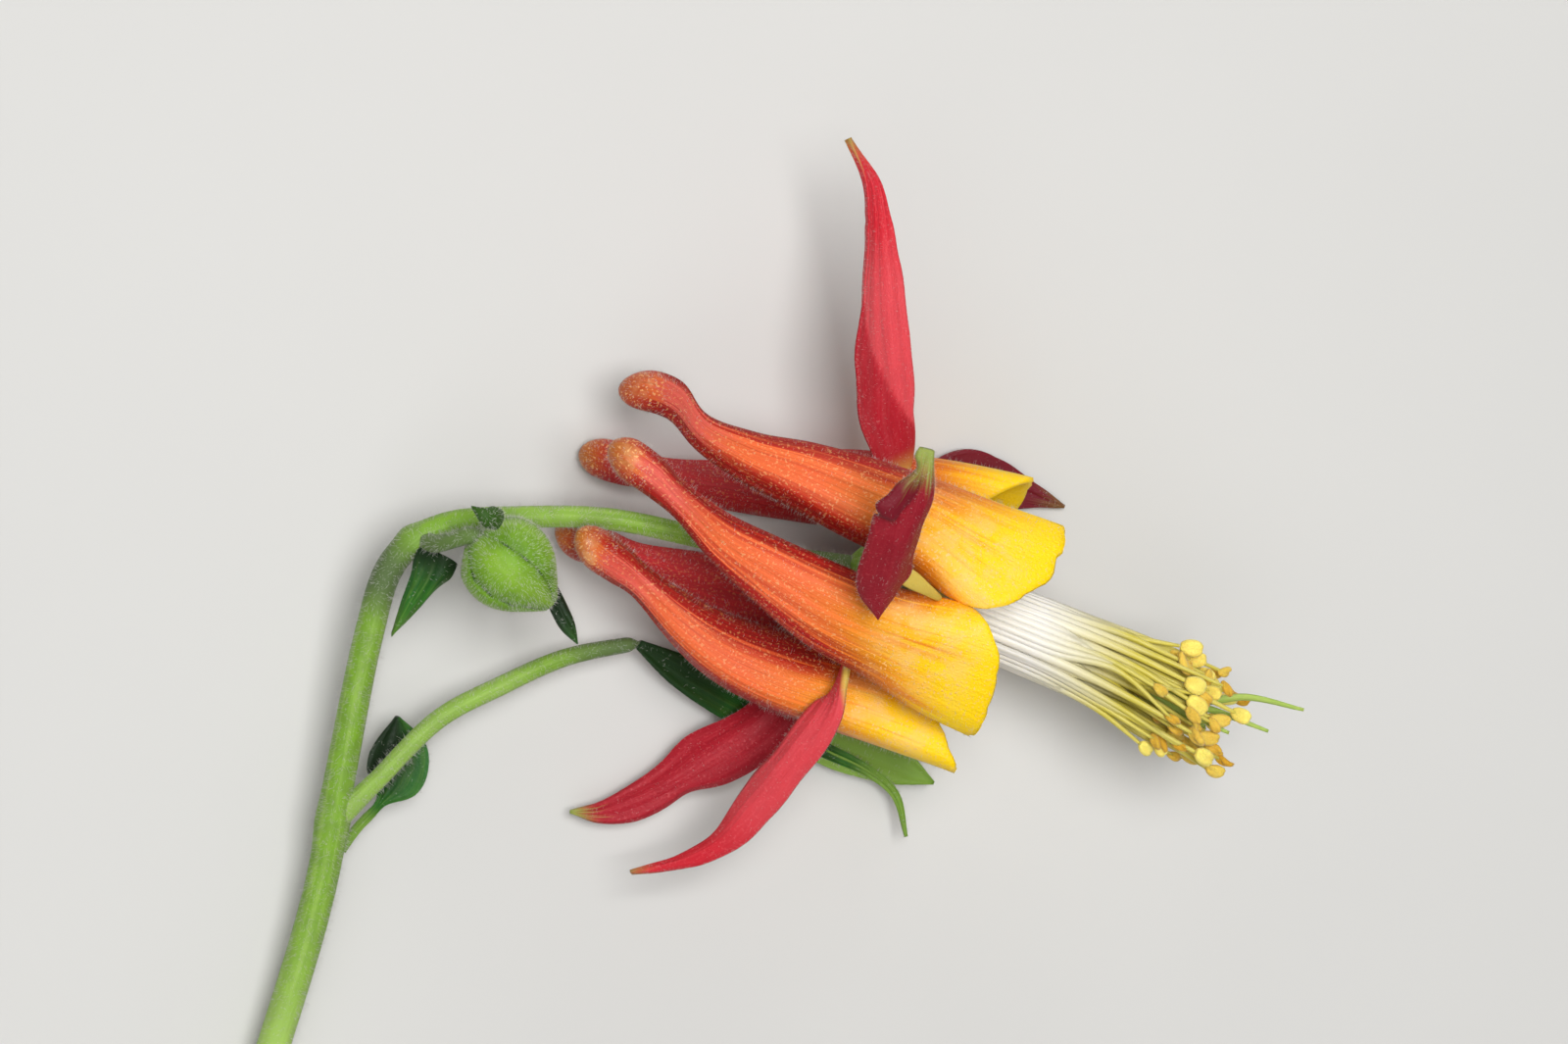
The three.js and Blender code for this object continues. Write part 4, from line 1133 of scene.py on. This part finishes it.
class COLUMBINE_OT_sepals(bpy.types.Operator):
    """Grow the five sepals between the petals"""

    bl_idname = "columbine.sepals"
    bl_label = "Sepals"
    bl_options = {"REGISTER", "UNDO"}

    def execute(self, context):
        colours, sizes = context.scene.columbine_colours, context.scene.columbine_sizes
        wall = sizes.sepal_wall / MM
        for name, form in SEPALS.items():
            extra = dict(SEPAL_EXTRAS[name])
            folds, waves = extra.pop("lift"), extra.pop("edge")
            claw = [in_flower(along, out, form["gap"]) for along, out in form["claw"]]
            root = around(form["gap"])
            skin = Skin()

            def lift(t, u, folds=folds):
                ribs = 0.02 * np.cos(21 * u) + 0.05 * bump(u, 0, 0.1)
                return (folds(t, u) + ribs) * step_up(t, 0.2, 0.34) * step_up(-t, -1, -0.93)

            def edge(t, u, waves=waves):
                return waves(t, u) * step_up(t, 0.2, 0.28) * step_up(-t, -1, -0.9)

            strap = form.get("strap")
            spine = form["free"] if strap else [*claw, *form["free"]]
            roots = [] if strap else [root] if form.get("turned") else [root, root]
            rings, lay = blade(spine, form["half"], [*roots, *form["sides"]], form["dish"],
                               wall, **SEPAL_GRID, lift=lift, edge=edge)
            rest_on_table(rings)
            # the part past the upright sepal's fold and the front sepal's folded lobe are marked
            # for a painted shade
            shaded = {"sepal_up": up_facet, "sepal_front": side_lobe}.get(name)
            mark = shaded(lay[..., 2], lay[..., 0]) if shaded else 0.0
            if strap:  # the claw joins beside the blade's own lower point
                lay[..., 2] = 0.3 + 0.7 * lay[..., 2]
                strap_rings, strap_lay = blade(
                    [*claw, *strap["spine"]], strap["half"], [root, root, *strap["sides"]],
                    strap["dish"], wall, **STRAP_GRID)
                skin.rings(strap_rings, strap_lay * [1, 1, 0.15])
            skin.rings(rings, lay, mark)
            # most along the margins and at the tip
            skin.hairs(
                extra["seed"], HAIR_COVER["sepal"], *hair_size(sizes, 0.7),
                chance=lambda lay, mark, at: (at[:, 2] > 0.1) * (lay[:, 2] > 0.22)
                * (0.25 + 4.0 * (np.abs(lay[:, 0]) > 0.96) + 1.5 * (lay[:, 2] > 0.9)), lean=0.12)
            finish = sepal_finish(f"Sepal {name[6:].replace('_', ' ')}", colours, **extra)
            place_piece(skin, name, [finish, hair_finish(colours)])
        return {"FINISHED"}


def filament_rings(turn, foot, end, length, swing, girth, bow=0.0):
    """A filament, broad at its foot and fine at its end, bowed a little to one side."""
    path = np.array([
        in_flower(COLUMN_FOOT, foot, turn), in_flower(5.5, foot, turn),
        in_flower(10, foot + 0.12, turn),
        in_flower(0.5 * length + 5, foot + 0.4 * (end - foot), turn + 0.4 * swing)
        + SIDEWARD * 0.3 * COLUMN_SAG + around(turn) * bow,
        in_flower(length, end, turn + swing) + SIDEWARD * COLUMN_SAG])
    taper = girth * np.array([1, 1, 0.95, 0.7, 0.34])
    rings, lay = tube(path, taper, FILAMENT_STEPS, 8)
    lay[..., 2] = np.linspace(0, 1, FILAMENT_STEPS + 1)[:, None]
    return rings, lay, path


def anther_rings(at, aim, side, half, spent):
    """A two-lobed anther; a spent one is thinner and twisted."""
    thick, broad, long = half
    aim, side = unit(aim), np.asarray(side, float)
    side = unit(side - aim * (side @ aim))
    over = np.cross(aim, side)
    s = np.linspace(-1, 1, 15)[1:-1][:, None]
    turn = all_round(16)[None]
    girth = (1 - np.abs(s) ** 2.4) ** 0.6 * (1 + 0.12 * s)
    cleft = 1 - 0.5 * np.exp(-((np.cos(turn) / 0.3) ** 2)) * np.ones_like(s)
    x = broad * girth * np.cos(turn) * (1 - 0.4 * spent)
    y = thick * girth * np.sin(turn) * cleft * (1 - 0.4 * spent)
    bow = 0.3 * spent * s**2 * np.ones_like(turn)
    twist = 1.6 * spent * s
    x, y = x * np.cos(twist) - y * np.sin(twist), x * np.sin(twist) + y * np.cos(twist)
    rings = (at + aim * (long * s * np.ones_like(turn))[..., None] + side * x[..., None]
             + over * (y + bow)[..., None])
    lay = np.stack(np.broadcast_arrays(np.sin(turn), np.cos(turn), (s + 1) / 2), -1)
    return rings, lay


class COLUMBINE_OT_stamens(bpy.types.Operator):
    """Grow the column of stamens with their anthers"""

    bl_idname = "columbine.stamens"
    bl_label = "Stamens"
    bl_options = {"REGISTER", "UNDO"}

    def execute(self, context):
        colours = context.scene.columbine_colours
        skin = Skin()
        run = seeded(20)
        chance = np.random.default_rng(20)
        for ring in STAMEN_RINGS:
            for n in range(ring["count"]):
                turn = 360 * n / ring["count"] + 4 * next(run)
                length = SHORTEST_STAMEN + STAMEN_SPREAD * next(run)
                reach = ring["end"] * (0.75 + 0.3 * next(run))
                swing = 16 * (next(run) - 0.5)
                tilt, roll = PI * next(run), 2 * PI * next(run)
                rolled = Matrix.Rotation(roll, 3, "Z") @ Matrix.Rotation(tilt, 3, "X")
                path = turn, ring["foot"], reach, length, swing, 0.33, 0.3 * chance.normal()
                spent = float(chance.random() < 0.5) * chance.uniform(0.4, 1)
                half = chance.uniform(0.8, 1.0) * np.array(ANTHER)
                self.stamen(skin, path, 0.6 * np.array(rolled.col[2]), 0.2, rolled.col[0], half,
                            spent)
        # one stands a little apart from the others
        self.stamen(skin, (-78, 1.36, 3.4, 17.0, 0, 0.3), 0, 0.7, SIDEWARD, (0.4, 0.5, 0.75))
        for ring in SMALL_RINGS:  # between the others
            for n in range(ring["count"]):
                turn = 360 * (n + 0.5) / ring["count"] + 9 * chance.random()
                path = (turn, ring["foot"], ring["end"] * chance.uniform(0.75, 1.05),
                        chance.uniform(16, 20.5), 14 * (chance.random() - 0.5), 0.27,
                        0.35 * chance.normal())
                stray = 0.4 * chance.normal(size=3)
                spent = float(chance.random() < 0.7) * chance.uniform(0.5, 1)
                self.stamen(skin, path, stray, 0.1, SIDEWARD, SMALL_ANTHER, spent)
        core = [in_flower(COLUMN_FOOT - 0.2 + 0.75 * s, 0, 0) for s in np.linspace(0, 1, 7)]
        rings, lay = tube(np.array(core), COLUMN_RADII, 6, 24)
        skin.rings(rings, lay * [1, 1, 0])
        place_piece(skin, "stamens", [self.filament(colours), self.anther(colours)])
        return {"FINISHED"}

    @staticmethod
    def stamen(skin, path, stray, gap, side, half, spent=0.0):
        """One filament with an anther, which strays from its line by a vector."""
        rings, lay, points = filament_rings(*path)
        skin.rings(rings, lay)
        aim = unit(unit(points[-1] - points[-2]) + stray)
        body, lay = anther_rings(points[-1] + aim * gap, aim, side, half, spent)
        skin.rings(body, lay, spent, 1)

    @staticmethod
    def filament(colours):
        """Silky white, yellow green towards both ends."""
        material, tree, shader = new_material("Filaments", 0.35, flesh=0.3,
                                              flesh_radius=(0.8, 0.8, 0.6), coat=0.2)
        _, _, along = surface_lay(tree)
        veins = veins_in(tree, 2.0, 3.0, 31.0)
        skin_relief(tree, shader, veins.outputs["Height"], 0.04, 0.01, 10.0)
        white, green = tuple(colours.filament_white), tuple(colours.filament_green)
        half_way = between(white, green, 0.5)
        colour = ramp(tree, along, [(0.0, green), (0.25, white), (0.44, white),
                                    (0.60, half_way), (0.78, green)])
        colour = mixed(tree, times(tree, veins.outputs["Fine"], 0.35), colour, half_way)
        tree.links.new(colour, shader.inputs["Base Color"])
        return material

    @staticmethod
    def anther(colours):
        """Pale yellow, mustard where its mark says that it is spent."""
        material, tree, shader = new_material("Anthers", 0.7, flesh=0.15, sheen=0.2)
        grain = skin_relief(tree, shader, cells_depth=0.05, per_mm=12.0)
        brown = tuple(colours.anther_brown)
        colour = mixed(tree, surface_mark(tree), tuple(colours.anther_pale), brown)
        colour = mixed(tree, times(tree, grain.outputs["Mottle"], 0.35), colour, brown)
        tree.links.new(colour, shader.inputs["Base Color"])
        return material


class COLUMBINE_OT_pistils(bpy.types.Operator):
    """Grow the five carpels with their long styles"""

    bl_idname = "columbine.pistils"
    bl_label = "Pistils"
    bl_options = {"REGISTER", "UNDO"}

    def execute(self, context):
        colours = context.scene.columbine_colours
        skin = Skin()
        for n, (length, out, turn) in enumerate(STYLE_TIPS):
            start = 72 * n
            path = np.array([
                in_flower(CARPEL_FOOT, STYLE_GAP, start), in_flower(8, STYLE_GAP, start),
                in_flower(14, STYLE_GAP, start),
                in_flower(0.75 * length, 0.15 * out, turn) + SIDEWARD * 0.5 * COLUMN_SAG,
                in_flower(0.87 * length, 0.75 * out, turn) + SIDEWARD * 0.8 * COLUMN_SAG,
                in_flower(length, out, turn) + SIDEWARD * COLUMN_SAG])
            rings, lay = tube(path, STYLE_RADII, 60, 12, 3, 0.06, 4.0)
            skin.rings(rings, lay)
        shades = colours.style_green, colours.stem_light, colours.stem_green
        place_piece(skin, "pistils", [green_finish("Styles", shades, 41.0, 2.0, 4.0)])
        return {"FINISHED"}


class COLUMBINE_OT_stem(bpy.types.Operator):
    """Grow the stem with its side branch, the bud's stalk and the receptacle"""

    bl_idname = "columbine.stem"
    bl_label = "Stem"
    bl_options = {"REGISTER", "UNDO"}

    def execute(self, context):
        colours, sizes = context.scene.columbine_colours, context.scene.columbine_sizes
        skin = Skin()
        hair_length, hair_width = hair_size(sizes)
        sides = 28
        rings, lay = tube(MAIN_STEM, MAIN_RADII, 300, sides, 6, 0.022, 3.0,
                          [(0.3, 0.016, 0.14), (0.537, 0.014, 0.22)])
        rest_on_table(rings)
        # pale towards the cut end, a little lighter further up and dull at the bend, by
        # centimetres from the cut end; darker over the last centimetre below the flower, a painted
        # shade of the petals over it
        pale = 0.8 * step_up(-lay[..., 2], -4.6, -2.4) + 0.3 * bump(lay[..., 2], 7.1, 0.5)
        dull = 0.9 * bump(lay[..., 2], 6.05, 0.25) + 0.8 * step_up(lay[..., 2], 7.8, 8.3)
        middle = rings[0].mean(0)
        cut = [middle + share * (rings[0] - middle) for share in (0.6, 0.86, 0.97)]
        rings, lay = np.concatenate([cut, rings]), np.concatenate([lay[:1]] * len(cut) + [lay])
        skin.rings(rings, lay, np.concatenate([np.ones((len(cut), sides)), pale - dull]))
        rings, lay = tube(SIDE_BRANCH, [1.15 * SIDE_RADII[0], *SIDE_RADII[1:]], 180, 20, 5,
                          0.03, 2.0, [(1.0, 0.02, -0.9)])
        # darker from about 1.2 cm on, a painted shadow of the flower falling over its end
        skin.rings(rings, lay, 0.35 - 1.2 * step_up(lay[..., 2], 1.2, 2.0))
        rings, lay = tube(BUD_STALK, BUD_STALK_RADII, 30, 20, 5, 0.03, 2.0)
        skin.rings(rings, lay, -0.7)
        # a little darker, a painted shade under the petals round it
        skin.rings(*self.receptacle(), -0.2)
        # thickest near the flower
        skin.hairs(
            61, sizes.hair_cover, 1.5 * hair_length, hair_width,
            chance=lambda lay, mark, at: (at[:, 2] > 0.1)
            * (0.3 + 0.7 * step_up(at[:, 1], -34, -14)))
        shades = colours.stem_green, colours.stem_light, colours.stem_dark
        finish = green_finish("Stem", shades, 51.0, 3.0, 1.0)
        place_piece(skin, "stem", [finish, hair_finish(colours)])
        return {"FINISHED"}

    @staticmethod
    def receptacle():
        """Rings and lay of the knob that the flower's pieces grow from, with five ribs."""
        t = np.linspace(0, 1, 30)[:, None]
        turn = all_round(40)[None]
        along, radius, turn, t = np.broadcast_arrays(
            blend([a for _, a in RECEPTACLE], t),
            np.maximum(blend([r for r, _ in RECEPTACLE], t), 0.02), turn, t)
        rings = in_flower(along, radius * (1 + 0.05 * np.cos(5 * turn)), np.degrees(turn))
        lay = np.stack([np.sin(turn), np.cos(turn), t], -1)
        return rings[:, ::-1], lay[:, ::-1]


class COLUMBINE_OT_bud(bpy.types.Operator):
    """Grow the downy bud of five folded sepals"""

    bl_idname = "columbine.bud"
    bl_label = "Bud"
    bl_options = {"REGISTER", "UNDO"}

    def execute(self, context):
        colours, sizes = context.scene.columbine_colours, context.scene.columbine_sizes
        along = BUD_TIP - BUD_FOOT
        length = np.linalg.norm(along)
        along = along / length
        across = unit(np.cross([0, 0, 1], along))
        over = np.cross(along, across)
        sides, steps = 120, 70
        t = np.linspace(0, 1, steps + 1)[:, None]
        turn = all_round(sides)[None]
        across_fold = 2.5 * turn + 0.6 * t - 0.25
        fold = np.abs(np.sin(across_fold))
        # each folded sepal overlaps the next at its seam
        saw = (across_fold / PI) % 1
        crease = np.exp(-fold / 0.05)
        seam = 1 - 0.06 * (1 - fold) ** 2 - 0.035 * crease + 0.05 * (0.5 - saw)
        radius = BUD_RADIUS * blend(BUD_SWELL, t) * seam * (1 + 0.006 * np.cos(31 * turn))
        rings = (BUD_FOOT + along * (length * t * np.ones_like(turn))[..., None]
                 + across * (radius * np.cos(turn))[..., None]
                 + over * (radius * np.sin(turn))[..., None])
        lay = np.stack(np.broadcast_arrays(np.sin(turn), np.cos(turn), t), -1)
        # the dark seams are a painted shade in the creases where one sepal folds over the next
        mark = 0.5 * bump(saw, 0.4, 0.3) - 1.3 * crease  # light backs and dark seams
        skin = Skin()
        skin.rings(rings, lay, np.broadcast_to(mark, lay.shape[:2]))
        rings, lay = blade(**BUD_BRACT, thick=sizes.bract_wall / MM, **BUD_BRACT_GRID)
        skin.rings(rings, lay, -0.9)
        skin.hairs(71, HAIR_COVER["bud"], *hair_size(sizes), lean=0.15)
        shades = colours.bud_green, colours.bud_light, colours.bud_dark
        finish = green_finish("Bud", shades, 72.0, 3.0, 1.0, streaks=0.2)
        place_piece(skin, "bud", [finish, hair_finish(colours)])
        return {"FINISHED"}


class COLUMBINE_OT_bracts(bpy.types.Operator):
    """Grow the small leaves along the stem"""

    bl_idname = "columbine.bracts"
    bl_label = "Bracts"
    bl_options = {"REGISTER", "UNDO"}

    def execute(self, context):
        colours, sizes = context.scene.columbine_colours, context.scene.columbine_sizes
        for n, (name, leaves) in enumerate(BRACTS.items()):
            skin = Skin()
            for leaf in leaves:
                def lift(t, u):
                    wave = 0.05 * np.cos(9 * u + 6 * t) - 0.12 * bump(u, 0, 0.08)
                    return wave * step_up(t, 0, 0.1) * step_up(-t, -1, -0.9)

                rings, lay = blade(**leaf, thick=sizes.bract_wall / MM, **BRACT_GRID, lift=lift)
                # the mark paints light and shade along and across the bract
                shades, fall = BRACT_LIGHT_AND_SHADE[name]
                skin.rings(rings, lay, blend(shades, lay[..., 2]) - fall * lay[..., 0] * step_up(
                    lay[..., 2], 0.4, 0.6))
            skin.hairs(
                80 + n, HAIR_COVER["bract"], *hair_size(sizes),
                chance=lambda lay, mark, at: 0.4 + 6.0 * (np.abs(lay[:, 0]) > 0.96))
            shades = colours.bract_green, colours.bract_light, colours.bract_dark
            finish = green_finish(f"Bract {n + 1}", shades, 81.0 + n, 6.0, 2.0, flesh=0.1)
            place_piece(skin, name, [finish, hair_finish(colours)])
        return {"FINISHED"}


class COLUMBINE_OT_stage(bpy.types.Operator):
    """Set the table, the soft lamps and the camera"""

    bl_idname = "columbine.stage"
    bl_label = "Stage"
    bl_options = {"REGISTER", "UNDO"}

    def execute(self, context):
        scene = context.scene
        colours, sizes = scene.columbine_colours, scene.columbine_sizes
        self.table(scene, colours)
        self.camera(scene, sizes)
        for name, place, size, power in LAMPS:
            data = bpy.data.lights.new(name, "AREA")
            data.size, data.energy = size, power
            lamp = bpy.data.objects.new(name, data)
            lamp.location = place
            lamp.rotation_euler = (-lamp.location).to_track_quat("-Z", "Y").to_euler()
            scene.collection.objects.link(lamp)
        world = bpy.data.worlds.new("Studio")
        world.use_nodes = True
        room = world.node_tree.nodes["Background"].inputs
        room["Color"].default_value = (1, 1, 1, 1)
        room["Strength"].default_value = ROOM_LIGHT
        scene.world = world
        scene.view_settings.view_transform = "Standard"
        return {"FINISHED"}

    @staticmethod
    def table(scene, colours):
        """A wide pale top, just under the pieces that rest on it."""
        corners = [(x * TABLE_HALF, y * TABLE_HALF, TABLE_TOP)
                   for x, y in ((-1, -1), (1, -1), (1, 1), (-1, 1))]
        mesh = bpy.data.meshes.new("table_top")
        mesh.from_pydata(corners, [], [(0, 1, 2, 3)])
        material, tree, shader = new_material("Table top", 0.6)
        place = node(tree, "ShaderNodeTexCoord").outputs["Object"]
        soft = node(tree, "ShaderNodeTexNoise", {"Vector": place, "Scale": 40.0, "Detail": 5.0})
        top = tuple(colours.table)
        colour = mixed(tree, soft.outputs["Fac"], top, between(top, (0, 0, 0), 0.04))
        tree.links.new(colour, shader.inputs["Base Color"])
        mesh.materials.append(material)
        made = bpy.data.objects.new("table_top", mesh)
        scene.collection.objects.link(made)

    @staticmethod
    def camera(scene, sizes):
        """Looks down on the flower, turned so that its axis falls to the right."""
        tilt = sizes.camera_tilt
        axis = np.array([AXIS_EAST, AXIS_NORTH, 0.0])
        cross = np.array([AXIS_NORTH, -AXIS_EAST, 0.0])
        upright = np.array([0, 0, 1])
        along = axis * math.cos(tilt) + upright * math.sin(tilt)
        back = -axis * math.sin(tilt) + upright * math.cos(tilt)
        right = AXIS_EAST * along + AXIS_NORTH * cross
        up = AXIS_NORTH * along - AXIS_EAST * cross
        data = bpy.data.cameras.new("camera")
        data.lens, data.sensor_width = sizes.lens, 36
        data.clip_start, data.clip_end = 0.01, 10
        made = bpy.data.objects.new("camera", data)
        made.matrix_world = Matrix([
            (*row, place) for *row, place in zip(right, up, back, CAMERA_PLACE)
        ] + [(0, 0, 0, 1)])
        scene.collection.objects.link(made)
        scene.camera = made


class COLUMBINE_PT_panel(bpy.types.Panel):
    """The columbine's operators and settings"""

    bl_idname = "COLUMBINE_PT_panel"
    bl_label = "Columbine"
    bl_space_type = "VIEW_3D"
    bl_region_type = "UI"
    bl_category = "Columbine"

    def draw(self, context):
        layout = self.layout
        for operator in OPERATORS:
            layout.operator(operator.bl_idname)
        for group in (context.scene.columbine_sizes, context.scene.columbine_colours):
            box = layout.box()
            for name in group.bl_rna.properties.keys():
                if name not in {"rna_type", "name"}:
                    box.prop(group, name)


OPERATORS = (COLUMBINE_OT_stem, COLUMBINE_OT_petals, COLUMBINE_OT_sepals, COLUMBINE_OT_stamens,
             COLUMBINE_OT_pistils, COLUMBINE_OT_bud, COLUMBINE_OT_bracts, COLUMBINE_OT_stage)
CLASSES = (ColumbineColours, ColumbineSizes, *OPERATORS, COLUMBINE_PT_panel)


def register():
    for entry in CLASSES:
        bpy.utils.register_class(entry)
    bpy.types.Scene.columbine_colours = bpy.props.PointerProperty(type=ColumbineColours)
    bpy.types.Scene.columbine_sizes = bpy.props.PointerProperty(type=ColumbineSizes)


def unregister():
    del bpy.types.Scene.columbine_sizes
    del bpy.types.Scene.columbine_colours
    for entry in reversed(CLASSES):
        bpy.utils.unregister_class(entry)


def main():
    """Grow every piece in order."""
    register()
    bpy.ops.columbine.stem()
    bpy.ops.columbine.petals()
    bpy.ops.columbine.sepals()
    bpy.ops.columbine.stamens()
    bpy.ops.columbine.pistils()
    bpy.ops.columbine.bud()
    bpy.ops.columbine.bracts()
    bpy.ops.columbine.stage()


if __name__ == "__main__":
    main()
